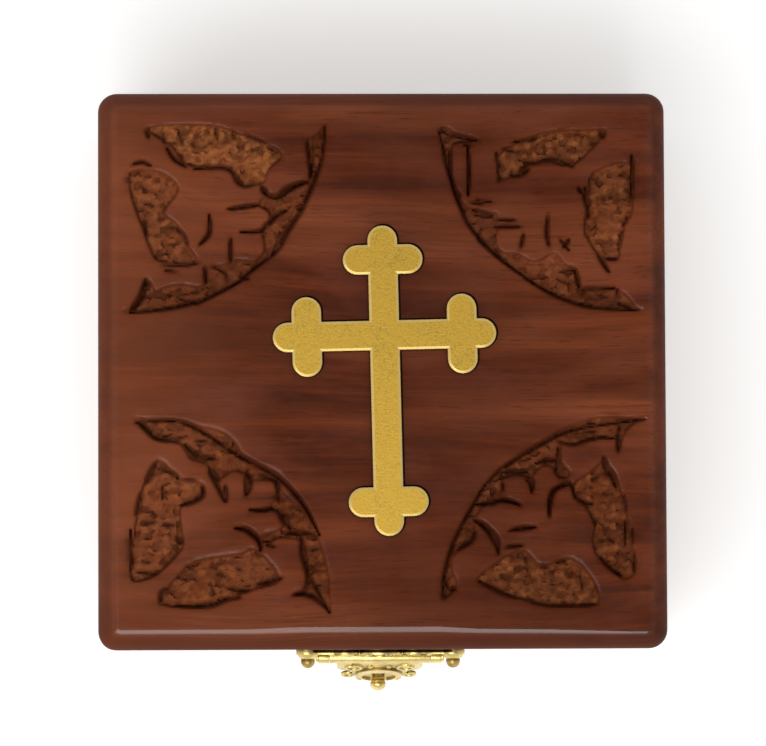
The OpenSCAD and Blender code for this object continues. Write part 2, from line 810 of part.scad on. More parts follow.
module catch_plate() {
    color(old_brass) difference() {
        at_catch() front_plate(catch_t) {
            translate([-catch_lobe_x, -catch_lobe_r]) square([2 * catch_lobe_x, 2 * catch_lobe_r]);
            circle(r = catch_r);
            for (x = [-1, 1]) translate([x * catch_lobe_x, 0]) circle(r = catch_lobe_r);
        }
        at_catch() staple_legs(catch_t + over);
        nail_holes(catch_t + over);
    }
}

module catch_staple() {
    room = staple_r + staple_wire + over;
    color(old_brass) at_catch() {
        difference() {
            translate([0, -catch_t, 0]) rotate([0, 90, 0])
                rotate_extrude() translate([staple_r, 0]) circle(r = staple_wire);
            translate([-room, -catch_t, -room]) cube(2 * room);
        }
        staple_legs(catch_t);
    }
}

module catch_nails() {
    color(old_brass) at_catch_nails() catch_nail();
}

base_front_wall();
base_back_wall();
base_left_wall();
base_right_wall();
base_bottom_panel();
base_floor_lining();
base_front_lining();
base_back_lining();
base_left_lining();
base_right_lining();
lid_top_panel();
lid_front_rail();
lid_back_rail();
lid_left_rail();
lid_right_rail();
lid_lining();
brass_cross();
hinge_left_base_leaf();
hinge_left_lid_leaf();
hinge_left_pin();
hinge_right_base_leaf();
hinge_right_lid_leaf();
hinge_right_pin();
hinge_base_nails();
hinge_lid_nails();
latch_plate();
latch_pin();
latch_nails();
latch_hasp();
hasp_knob();
catch_plate();
catch_staple();
catch_nails();
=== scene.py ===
# %% [markdown]
# # A square keepsake box of carved rosewood
#
# The box is a little over 10 cm wide. Its lid has a carved leaf in each corner and a brass cross in
# the middle, and a small brass latch hangs at the front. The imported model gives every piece's place,
# so this lesson is about looks: the carving, the grain, the brass and the velvet.

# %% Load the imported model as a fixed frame
import json
import math
import random

import bmesh
import bpy
import numpy as np
from mathutils import Matrix, Vector, noise


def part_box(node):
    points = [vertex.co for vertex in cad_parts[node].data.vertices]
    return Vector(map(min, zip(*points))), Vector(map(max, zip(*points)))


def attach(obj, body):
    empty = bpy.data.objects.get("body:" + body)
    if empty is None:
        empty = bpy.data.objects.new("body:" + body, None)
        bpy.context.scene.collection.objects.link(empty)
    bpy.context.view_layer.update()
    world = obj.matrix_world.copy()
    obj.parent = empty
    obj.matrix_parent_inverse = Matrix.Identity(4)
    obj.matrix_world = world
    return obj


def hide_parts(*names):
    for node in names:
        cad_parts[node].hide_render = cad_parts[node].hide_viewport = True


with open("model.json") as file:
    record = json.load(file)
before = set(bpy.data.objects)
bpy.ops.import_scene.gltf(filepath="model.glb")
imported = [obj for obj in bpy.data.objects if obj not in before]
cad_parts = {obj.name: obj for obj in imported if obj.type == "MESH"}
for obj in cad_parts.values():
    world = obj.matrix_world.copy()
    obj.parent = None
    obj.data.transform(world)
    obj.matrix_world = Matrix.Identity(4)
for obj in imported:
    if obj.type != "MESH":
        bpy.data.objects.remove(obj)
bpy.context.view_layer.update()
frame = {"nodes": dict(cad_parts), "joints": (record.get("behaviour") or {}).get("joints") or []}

MM = 0.001
scene = bpy.context.scene

# %% [markdown]
# ## The camera
#
# The picture was taken from almost straight above, with the camera a little to the front and to the
# left, about 88 cm over the table. From there the front of the lid is a touch wider than its back.
# A long lens at the real distance gives the same slight taper, which a close wide lens wouldn't.

# %% Camera
# The picture is 766 pixels wide and 746 high
IMAGE_W = 766
CAMERA_AT = Vector((-24.2, -46.7, 880)) * MM
AIM = Vector((0, -0.65, 55)) * MM
ROLL = math.radians(-0.23)
FOCUS_PIXELS = 4624

camera = bpy.data.objects.new("camera", bpy.data.cameras.new("camera"))
scene.collection.objects.link(camera)
camera.data.sensor_fit = "HORIZONTAL"
camera.data.lens = camera.data.sensor_width * FOCUS_PIXELS / IMAGE_W
camera.location = CAMERA_AT
back = (CAMERA_AT - AIM).normalized()
right = Vector((0, 1, 0)).cross(back).normalized()
turn = Matrix((right, back.cross(right), back)).transposed().to_4x4()
camera.matrix_world = Matrix.Translation(CAMERA_AT) @ turn @ Matrix.Rotation(ROLL, 4, "Z")
camera.data.clip_start, camera.data.clip_end = 0.05, 20
scene.camera = camera
scene.view_settings.view_transform = "Standard"
print("lens:", round(camera.data.lens), "mm")

# %% [markdown]
# ## Building materials from nodes
#
# Every finish here is procedural: it is worked out from the place on the piece, with no pictures.
# A few short helpers keep the node trees readable. An input of a node is either a plain value or
# another node's output, and the helper links the second kind.

# %% Helpers for node trees
def feed(tree, sockets, values):
    """Gives each input its value: a plain one, or a link from another node's output."""
    for name, value in values.items():
        if isinstance(value, bpy.types.NodeSocket):
            tree.links.new(value, sockets[name])
        else:
            sockets[name].default_value = value


def add(tree, kind, inputs=None, **settings):
    """Adds a shader node, with plain or linked inputs."""
    node = tree.nodes.new("ShaderNode" + kind)
    for name, value in settings.items():
        setattr(node, name, value)
    feed(tree, node.inputs, inputs or {})
    return node


def calc(tree, operation, a, b=0.0, clamp=False):
    """A Math node's result."""
    return add(tree, "Math", {0: a, 1: b}, operation=operation, use_clamp=clamp).outputs[0]


def times(tree, a, b, clamp=False):
    """A product."""
    return calc(tree, "MULTIPLY", a, b, clamp)


def plus(tree, a, b, clamp=False):
    """A sum."""
    return calc(tree, "ADD", a, b, clamp)


def span(tree, value, low, high, to_low=0.0, to_high=1.0):
    """Value's place between low and high, carried over to between to_low and to_high."""
    return add(tree, "MapRange", {"Value": value, "From Min": low, "From Max": high,
                                  "To Min": to_low, "To Max": to_high}).outputs[0]


def blend(tree, share, a, b):
    """A colour between a and b."""
    return add(tree, "Mix", {0: share, 6: a, 7: b}, data_type="RGBA").outputs[2]


def stretched(tree, place, scale):
    """A place, stretched along each axis."""
    return add(tree, "VectorMath", {0: place, 1: scale}, operation="MULTIPLY").outputs[0]


def grains(tree, place, scale, detail=2.0, rough=0.5):
    """Smooth noise from 0 to 1, at a scale per metre along each axis."""
    return add(tree, "TexNoise", {"Vector": stretched(tree, place, scale), "Scale": 1.0,
                                  "Detail": detail, "Roughness": rough}).outputs["Fac"]


def new_group(name, inputs, outputs):
    """An empty shader node group. An input is (name, kind, default) and an output (name, kind)."""
    tree = bpy.data.node_groups.new(name, "ShaderNodeTree")
    for label, kind, default in inputs:
        socket = tree.interface.new_socket(label, in_out="INPUT", socket_type="NodeSocket" + kind)
        socket.default_value = default
    for label, kind in outputs:
        tree.interface.new_socket(label, in_out="OUTPUT", socket_type="NodeSocket" + kind)
    return tree, tree.nodes.new("NodeGroupInput").outputs, tree.nodes.new("NodeGroupOutput").inputs


def place_group(tree, group, inputs):
    """Puts a group into a material, with its own values, and returns its outputs."""
    return add(tree, "Group", inputs, node_tree=group).outputs


def start_material(name):
    """A material's node tree, its Principled shader, and the place on the piece in metres."""
    made = bpy.data.materials.new(name)
    made.use_nodes = True
    tree = made.node_tree
    shader = tree.nodes["Principled BSDF"]
    return made, tree, shader, add(tree, "TexCoord").outputs["Object"]


def bump(tree, shader, height, distance, strength=1.0):
    """Feeds a height in metres times distance into the shader's normal."""
    node = add(tree, "Bump", {"Height": height, "Distance": distance, "Strength": strength})
    tree.links.new(node.outputs[0], shader.inputs["Normal"])


def srgb(red, green, blue):
    """A colour as a paint chart gives it, from 0 to 255, turned into light."""
    def light(c):
        c /= 255
        return c / 12.92 if c <= 0.04045 else ((c + 0.055) / 1.055) ** 2.4
    return (light(red), light(green), light(blue), 1.0)


# %% [markdown]
# ## Rosewood
#
# Rosewood is brown with redder and darker zones that run along the board. Finer streaks and short
# dark pores lie inside them. A photograph of wood would repeat on every board, so the grain is a
# group that works in three dimensions. The same grain then shows as long lines on a face and as
# small flecks on an end, as it does on a real board.

# %% Grain group
grain_group, g_in, g_out = new_group(
    "rosewood_grain",
    [("Place", "Vector", (0, 0, 0)), ("Board", "Float", 0.0), ("Deep", "Color", (0, 0, 0, 1)),
     ("Warm", "Color", (0, 0, 0, 1)), ("Pale", "Color", (0, 0, 0, 1)), ("RosyToneAndSheen", "Color", (0, 0, 0, 1))],
    [("Color", "Color"), ("Height", "Float"), ("Zones", "Float")])
t = grain_group
shift = add(t, "CombineXYZ", {"X": times(t, g_in["Board"], 0.37),
                              "Y": times(t, g_in["Board"], 0.053),
                              "Z": times(t, g_in["Board"], 0.029)}).outputs[0]
board = add(t, "VectorMath", {0: g_in["Place"], 1: shift}, operation="ADD").outputs[0]
# A slow sideways wander bends all the lines together
wander = times(t, calc(t, "SUBTRACT", grains(t, board, (14, 30, 30), 1.0), 0.5), 0.007)
bent = add(t, "VectorMath", {0: board, 1: add(t, "CombineXYZ", {"Y": wander, "Z": wander}).outputs[0]},
           operation="ADD").outputs[0]
zones = grains(t, bent, (16, 85, 85), 2.0, 0.55)
bands = grains(t, bent, (20, 330, 330), 3.0, 0.6)
fibres = grains(t, bent, (60, 1500, 1500), 2.0, 0.6)
pores = span(t, grains(t, bent, (210, 3300, 3300), 1.0), 0.63, 0.72)
tone = plus(t, times(t, bands, 0.55), times(t, zones, 0.45))
body = blend(t, span(t, tone, 0.39, 0.61), g_in["Deep"], g_in["Warm"])
body = blend(t, span(t, plus(t, zones, times(t, fibres, 0.25)), 0.6, 0.85), body, g_in["Pale"])
body = blend(t, span(t, fibres, 0.35, 0.7, 0.0, 0.55), body, g_in["Deep"])
# Cloudy rosy patches lie over the streaks: partly the wood's own tone, partly a painted sheen
rosy_tone_and_sheen = span(t, grains(t, board, (60, 110, 110), 3.0, 0.6), 0.48, 0.72, 0.0, 0.4)
body = blend(t, rosy_tone_and_sheen, body, g_in["RosyToneAndSheen"])
body = blend(t, times(t, pores, 0.4), body, (0.02, 0.006, 0.003, 1))
t.links.new(body, g_out["Color"])
relief = calc(t, "SUBTRACT", times(t, fibres, 0.5), times(t, pores, 0.3))
t.links.new(relief, g_out["Height"])
t.links.new(zones, g_out["Zones"])
print("grain group:", len(t.nodes), "nodes")

# %% [markdown]
# ## Worn edges
#
# Hands rub the finish thin along a board's arrises, and polish the high edges of brass. The Bevel
# node gives the normal that a rounded edge would have. Where it differs from the true normal there
# is an edge, and a little noise breaks that line up, because nobody rubs an edge evenly.

# %% Edge wear group
wear_group, w_in, w_out = new_group(
    "edge_wear",
    [("Place", "Vector", (0, 0, 0)), ("Reach", "Float", 0.0005), ("Patches", "Float", 200.0)],
    [("Mask", "Float")])
t = wear_group
rounded = add(t, "Bevel", {"Radius": w_in["Reach"]}, samples=4).outputs[0]
flat = add(t, "NewGeometry").outputs["Normal"]
turned = calc(t, "SUBTRACT", 1.0, add(t, "VectorMath", {0: rounded, 1: flat},
                                      operation="DOT_PRODUCT").outputs["Value"])
scaled = add(t, "VectorMath", {0: w_in["Place"], "Scale": w_in["Patches"]}, operation="SCALE").outputs[0]
rubbed = add(t, "TexNoise", {"Vector": scaled, "Scale": 1.0, "Detail": 3.0}).outputs["Fac"]
mask = times(t, span(t, turned, 0.01, 0.12), span(t, rubbed, 0.35, 0.65), clamp=True)
t.links.new(mask, w_out["Mask"])

# %% [markdown]
# ## Dust
#
# A little pale dust settles on what faces up, in uneven drifts. It is a mask, so each material
# decides how much of it shows.

# %% Dust group
dust_group, d_in, d_out = new_group(
    "settled_dust", [("Place", "Vector", (0, 0, 0)), ("Amount", "Float", 0.1)], [("Mask", "Float")])
t = dust_group
up = span(t, add(t, "SeparateXYZ", {0: add(t, "NewGeometry").outputs["Normal"]}).outputs["Z"], 0.5, 1.0)
drift = span(t, grains(t, d_in["Place"], (120, 120, 120), 4.0, 0.7), 0.4, 0.75)
t.links.new(times(t, times(t, up, drift), d_in["Amount"], clamp=True), d_out["Mask"])

# %% [markdown]
# ## The boards' finish
#
# The wood has a thin oil finish, neither dull nor glassy. Each board gets its own cut of the grain,
# and lies along its own length, so the side boards turn the grain by a quarter.

# %% Oil film group
# The film is thin on the rounded edges, which handling has worn, and shade is painted on them, the
# darker the more they turn from the top. Where the front just starts to round, lifting the lid has polished
# it instead
film_group, f_in, f_out = new_group(
    "oil_film", [("Zones", "Float", 0.5)], [("Film", "Float"), ("EdgeShade", "Float")])
t = film_group
facing = add(t, "SeparateXYZ", {0: add(t, "NewGeometry").outputs["Normal"]}).outputs
on_flat = span(t, facing["Z"], 0.7, 0.95)
polished = times(t, span(t, facing["Z"], 0.85, 0.95), span(t, facing["Y"], -0.08, -0.18))
soaked = span(t, f_in["Zones"], 0.3, 0.7, 0.6, 0.45)
film = times(t, soaked, span(t, on_flat, 0, 1, 0.2, 1.0))
t.links.new(times(t, film, plus(t, polished, 1.0)), f_out["Film"])
t.links.new(span(t, on_flat, 0, 1, 0.42, 0.0), f_out["EdgeShade"])

# %% Rosewood material
DEEP, WARM, PALE = srgb(71, 29, 13), srgb(119, 54, 25), srgb(142, 76, 47)
# The rosy colour is partly the wood's tone and partly a painted sheen
ROSY_TONE_AND_SHEEN = srgb(123, 62, 44)
WORN = srgb(150, 92, 62)
DUST = srgb(176, 150, 132)


def oiled(shader):
    """The wood under the oil scatters little; the oil's own film gives the gloss."""
    shader.inputs["Specular IOR Level"].default_value = 0.03
    shader.inputs["Coat Roughness"].default_value = 0.16
    shader.inputs["Coat IOR"].default_value = 1.45


# On the boards and on the carved lid alike: the amount of dust, and the grain's depth in metres
WOOD_DUST, GRAIN_DEPTH = 0.02, 0.00003


def rosewood(name, board_number, along_y=False, darken=0.0):
    made, tree, shader, place = start_material(name)
    if along_y:
        place = add(tree, "VectorRotate", {"Vector": place, "Angle": math.pi / 2},
                    rotation_type="Z_AXIS").outputs[0]
    grain = place_group(tree, grain_group, {"Place": place, "Board": float(board_number),
                                            "Deep": DEEP, "Warm": WARM, "Pale": PALE, "RosyToneAndSheen": ROSY_TONE_AND_SHEEN})
    wear = place_group(tree, wear_group, {"Place": place, "Reach": 0.0006, "Patches": 260.0})
    film = place_group(tree, film_group, {"Zones": grain["Zones"]})
    colour = blend(tree, darken, grain["Color"], DEEP)
    colour = blend(tree, times(tree, wear["Mask"], 0.35), colour, WORN)
    dust = place_group(tree, dust_group, {"Place": place, "Amount": WOOD_DUST})
    tree.links.new(blend(tree, dust["Mask"], colour, DUST), shader.inputs["Base Color"])
    tree.links.new(span(tree, grain["Zones"], 0.3, 0.7, 0.5, 0.62), shader.inputs["Roughness"])
    oiled(shader)
    tree.links.new(film["Film"], shader.inputs["Coat Weight"])
    bump(tree, shader, grain["Height"], GRAIN_DEPTH)
    return made


# %% [markdown]
# ## The carved lid as a landscape
#
# The carver drew a leaf in each corner, cut its outlines with a gouge, sank the ground round it by
# a millimetre, and roughened that ground with short strokes of the gouge. Modelling that as a
# landscape is the natural way: one height for each point of the lid, from the distance to the
# outlines. No two corners are alike, so each has its own drawing.
#
# A point is a place on the lid in mm from its middle: to the right, then to the back.

# %% The drawings
# Sunk grounds: how bare the wood is there, how much painted shade and dark polish lie in it, depth in mm,
# outline
GROUNDS = [
    # Back left: two open grounds beside the leaf's stem, then the band outside its fingers
    (0.36, 0.15, 1.0, [(-45.2, 35.5), (-44.9, 30.9), (-43.1, 25.8), (-41.6, 21.7), (-39.8, 19.3),
        (-33.4, 19.3), (-34.9, 22.4), (-36.7, 26), (-39, 28.3), (-36.4, 32.4), (-39.8, 35.5)]),
    (1.2, 0.1, 1.0, [(-42.1, 43.5), (-31, 43.9), (-26.2, 42.5), (-21.8, 40.9), (-17.9, 38.6),
        (-20.3, 36), (-21.3, 33.5), (-24.9, 33.2), (-27.2, 36.3), (-31, 36.4), (-35.2, 36.8),
        (-37.7, 40.2)]),
    (0.16, 0.35, 0.8, [(-46, 10.5), (-43, 10.7), (-40, 10.8), (-37, 11.1), (-34.5, 11.6), (-31.5, 12.4),
        (-29, 13.6), (-26.5, 15), (-24.5, 16.4), (-22.3, 18.4), (-20.6, 20), (-19.4, 21.6),
        (-18.6, 23.7), (-17, 25.9), (-15.2, 27.9), (-13.8, 29.9), (-12.4, 32.4), (-11.5, 35.4),
        (-10.9, 38.4), (-10.3, 41.4), (-10.2, 43.9), (-11.8, 42.2), (-13.6, 41.1), (-13.3, 38.4),
        (-13, 35.4), (-13.2, 33.8), (-15, 33.6), (-17, 32.7), (-18.5, 31.6), (-20.4, 31.4),
        (-21.7, 30.6), (-22.2, 29.3), (-20.7, 28.5), (-20.1, 27.2), (-20.8, 26), (-22, 25.2),
        (-21.5, 23.8), (-21.2, 21.9), (-21.8, 20.4), (-23, 19.5), (-24.8, 19.6), (-26.6, 19.7),
        (-28.2, 18.9), (-30.4, 18.5), (-31.9, 18), (-32, 15.4), (-33.5, 14.9), (-36, 15.3), (-38.6, 15),
        (-40.6, 14.2), (-41.5, 15.8), (-42.8, 16), (-43.5, 13.4), (-44.3, 11.8)]),
    # Back right: two open grounds beside the leaf's stem, then the band outside its fingers
    (0.36, 0.15, 1.0, [(44.9, 36.8), (44.9, 28.3), (43.8, 26.5), (42.8, 21.9), (42, 19.6), (39, 20.1),
        (36.9, 23.2), (36.1, 25), (36.9, 30.9), (37.9, 35.4)]),
    (0.5, 0.15, 1.0, [(21, 34), (21, 38.6), (25.1, 40.9), (29.7, 42.7), (37.9, 43), (40.2, 42.5),
        (34.3, 36.6), (29.2, 37.6), (26.6, 36.8), (24.1, 35)]),
    (0.16, 0.35, 0.8, [(10.5, 43.4), (10.7, 40.4), (11, 37.4), (12, 34), (12.8, 31.4), (14, 28.9),
        (15.3, 26.4), (16.5, 24.4), (17.8, 22.4), (19.8, 20.4), (22, 18.8), (24, 17.4), (26.5, 15.7),
        (28.5, 14.4), (30.5, 13.3), (33, 12.4), (35.5, 11.7), (38, 11.2), (41, 11), (43, 10.8),
        (45.5, 10.4), (44.4, 12.4), (42.6, 14), (40.5, 14.1), (38, 14.5), (36, 14.6), (35.2, 15.4),
        (35, 17), (34.2, 18.3), (32.6, 19), (31.4, 20.6), (30, 20.7), (28.6, 19.8), (27, 19.4),
        (25.5, 20), (24.2, 20.8), (22, 20.9), (20.9, 21.7), (20.4, 23.4), (20.9, 25.2), (20.8, 26.8),
        (20.4, 28.1), (18.4, 28), (16, 29), (14.2, 30.2), (13.2, 31.9), (12.8, 34.4), (12.6, 37.4),
        (12.6, 40.1), (14, 40.6), (16.8, 40.9), (16.4, 41.7), (13.4, 42.3), (11.8, 43.4)]),
    # Front left: two open grounds beside the leaf's stem, then the band outside its fingers
    (0.26, 0.15, 1.0, [(-40, -16.2), (-42.4, -19.3), (-43.6, -23.6), (-44.4, -28.3), (-45, -32.6),
        (-45.2, -36.2), (-44.4, -37.8), (-40.3, -36.5), (-35.9, -31.9), (-35.9, -28.8), (-36.2, -24.9),
        (-34.6, -23.9), (-32.1, -22.6), (-32.1, -20.5), (-35.2, -19.8), (-37.2, -18.7)]),
    (0.34, 0.15, 1.0, [(-40, -41.9), (-39, -39.6), (-37.2, -37.2), (-33.6, -34.2), (-25.6, -32.9),
        (-22.8, -32.1), (-18.5, -37.5), (-23.1, -39.3), (-26.9, -40.6), (-32.1, -42.4)]),
    (0.16, 0.35, 0.8, [(-44.5, -8.6), (-42, -8.8), (-39, -9.2), (-36, -9.4), (-33, -10.1),
        (-30.3, -10.6), (-28, -11.6), (-26.4, -13.1), (-25.2, -15.1), (-23.8, -16.2), (-22.4, -17.4),
        (-20.4, -17.8), (-18.5, -18.9), (-18.2, -21.2), (-17.3, -22.6), (-15.8, -23.8), (-14.4, -24.8),
        (-13.4, -26.6), (-12.2, -28.6), (-11.3, -31.1), (-10.6, -33.6), (-9.9, -36.6), (-9.7, -39.6),
        (-9.5, -43.4), (-10.6, -42), (-12, -40.9), (-14, -40.4), (-16.2, -40.1), (-14.6, -39.3),
        (-14, -37.6), (-14, -35.6), (-14.6, -33.1), (-15.2, -30.6), (-17, -30.2), (-18.9, -30.2),
        (-20.4, -31), (-21.9, -30.8), (-21.6, -29.4), (-19.4, -28.9), (-17.9, -27.8), (-18.2, -26.2),
        (-19.8, -25.3), (-20.2, -24.2), (-19.3, -23.2), (-19.2, -21.4), (-19.6, -20.1), (-22, -19.9),
        (-23.8, -19.8), (-25, -18.6), (-27, -18.2), (-28.4, -19.2), (-30, -19.8), (-31.2, -18.8),
        (-31.5, -17), (-34.4, -16), (-35.5, -14.3), (-36.6, -13.2), (-39.4, -12.9), (-41.4, -12.2),
        (-43, -10.6)]),
    # Front right: two open grounds beside the leaf's stem, then the band outside its fingers
    (0.26, 0.15, 1.0, [(39.5, -16.7), (41.5, -19.3), (42.8, -22.9), (43.8, -27.5), (44.6, -32.6),
        (45, -36.5), (42.8, -37.8), (40.8, -36), (38.2, -33.7), (37.2, -30.6), (37.7, -28),
        (35.9, -24.4), (34.1, -22.3), (34.3, -20.3), (36.9, -18.5)]),
    (0.45, 0.15, 1.0, [(16.6, -37.5), (18.9, -38.8), (21.5, -40.1), (25.3, -41.4), (30.5, -42.4),
        (35.6, -42.5), (38.2, -41.9), (37.7, -38.3), (33.6, -33.9), (28.2, -35.3), (25.1, -32.4),
        (21.5, -33.7)]),
    (0.16, 0.35, 0.8, [(46.5, -9), (43.5, -8.7), (40, -8.6), (37, -8.9), (34.5, -9.8), (32, -10.6),
        (30.2, -11.8), (28.4, -13), (26.5, -14.1), (24.5, -15.4), (22.6, -16.6), (21, -17.6),
        (19.5, -19.4), (18, -21.1), (16.8, -22.6), (15.5, -24.6), (14.2, -26.6), (13.3, -28.6),
        (12.4, -30.6), (11.6, -33.1), (11, -35.6), (10.5, -38.1), (10.3, -41.2), (12.4, -40),
        (13, -38.2), (12.2, -35.6), (12.7, -33.2), (14.6, -32), (16.2, -30.6), (16.8, -29),
        (16.2, -27.4), (17.2, -25.4), (18.6, -24.3), (20.9, -23.6), (21.2, -22.2), (21.2, -20.3),
        (22.2, -18.9), (24.8, -18.8), (26.2, -19.6), (27, -18.8), (28.4, -17.5), (30.2, -17.7),
        (31.2, -19.4), (32.8, -19.6), (33.4, -18.5), (32.1, -17), (31.7, -14.8), (32.4, -13.3),
        (34.4, -13.5), (36.4, -13), (39, -12.5), (41.8, -12.7), (42.4, -14.8), (43, -12.2),
        (44.4, -10.2)]),
]
# Gouge cuts: width in mm, points
CUTS = [
    # Back left
    (1.1, [(-10.2, 43.8), (-11, 37.3), (-14.1, 29.6), (-17.2, 24.5), (-19, 21.4), (-23.1, 18.1),
          (-26.9, 15)]),
    (1.1, [(-25, 16.1), (-32.1, 12.7), (-38.5, 11.1), (-45.2, 10.3)]),
    (1, [(-27.7, 28.8), (-22, 29.6)]),
    (1, [(-31, 27.8), (-31, 24.5), (-32.8, 22.4)]),
    (0.9, [(-27.2, 23.7), (-27.2, 19.1)]),
    (0.9, [(-25.4, 24.7), (-21.8, 24.9), (-20.5, 26.3), (-17.2, 28.8)]),
    (0.9, [(-31.8, 18.6), (-31.6, 15.5)]),
    (1.2, [(-21.5, 31.9), (-19, 30.9), (-16.7, 32.7), (-13.3, 33.7)]),
    (0.7, [(-12.3, 41.2), (-12.4, 37.5), (-13.2, 34)]),
    (0.6, [(-39, 13.4), (-35, 13.6), (-30.5, 15.1)]),
    (1.3, [(-42.4, 16.2), (-43, 13.4), (-45, 11)]),
    # Back right
    (1, [(10.2, 43), (12.5, 34), (14.3, 28.8), (16.3, 25), (21.5, 19.6), (27.1, 15.5)]),
    (1, [(25.4, 16.4), (30.7, 13.4), (35.6, 11.6), (39.5, 11), (45.6, 10.5)]),
    (0.9, [(29.7, 27.8), (29.5, 24.2), (30, 21.9)]),
    (0.8, [(25.3, 24.2), (24.8, 21.7)]),
    (0.8, [(16.3, 27.8), (19.9, 27.3)]),
    (0.6, [(16.7, 30.4), (19.8, 30)]),
    (0.8, [(31.8, 17.5), (34.3, 17.8), (35.4, 14.7)]),
    (0.8, [(35.4, 14.3), (41.5, 14.5)]),
    (0.8, [(15.4, 40.2), (15.6, 35.5), (15.4, 31.2)]),
    (0.6, [(31.8, 23.4), (33.4, 21.4)]),
    # Front left
    (1, [(-44.1, -9.4), (-35.4, -9.5), (-25.6, -15.4), (-18.5, -19.5), (-14.1, -24.4), (-11.5, -29.5)]),
    (1.1, [(-15.1, -29.5), (-14.3, -31.3), (-13.3, -36.5), (-12, -39), (-9.7, -43.4)]),
    (0.8, [(-43.6, -9.5), (-41.3, -11.6), (-39.8, -12.3), (-35.9, -12.3)]),
    (0.8, [(-35.7, -13.1), (-33.4, -14.9), (-29.5, -15.9)]),
    (1, [(-31, -18), (-28.2, -23.6)]),
    (0.8, [(-24.4, -18), (-24.6, -22.6)]),
    (0.9, [(-23.6, -25.2), (-19.5, -24.9), (-17.2, -26.7), (-16.1, -29.3), (-12, -29)]),
    (1, [(-26.4, -28.3), (-24.4, -28.8), (-22.3, -30.6), (-21.8, -32.1)]),
    (0.6, [(-23.8, -19), (-20.6, -18.8), (-18.7, -20.4), (-19.4, -23)]),
    # Front right
    (1, [(46.7, -9), (36.9, -10.3), (32.5, -11.3), (26.6, -14.4), (21, -18), (17.1, -22.1)]),
    (1, [(18.2, -20.6), (14.3, -27.5), (12, -32.6), (10.7, -37.8), (10.9, -40.8)]),
    (0.9, [(20.4, -19.8), (23.8, -18.7), (26.6, -19.8), (26.6, -22.1)]),
    (0.9, [(16.6, -24.1), (21.5, -23.4), (24.6, -24.4)]),
    (1, [(29.7, -26.5), (30, -23.4), (31, -21.3), (33.3, -20.5), (34.3, -22.9)]),
    (0.9, [(23, -28.8), (27.1, -28.3)]),
    (0.9, [(17.1, -27.5), (18.9, -29.3), (20.5, -32.4)]),
]
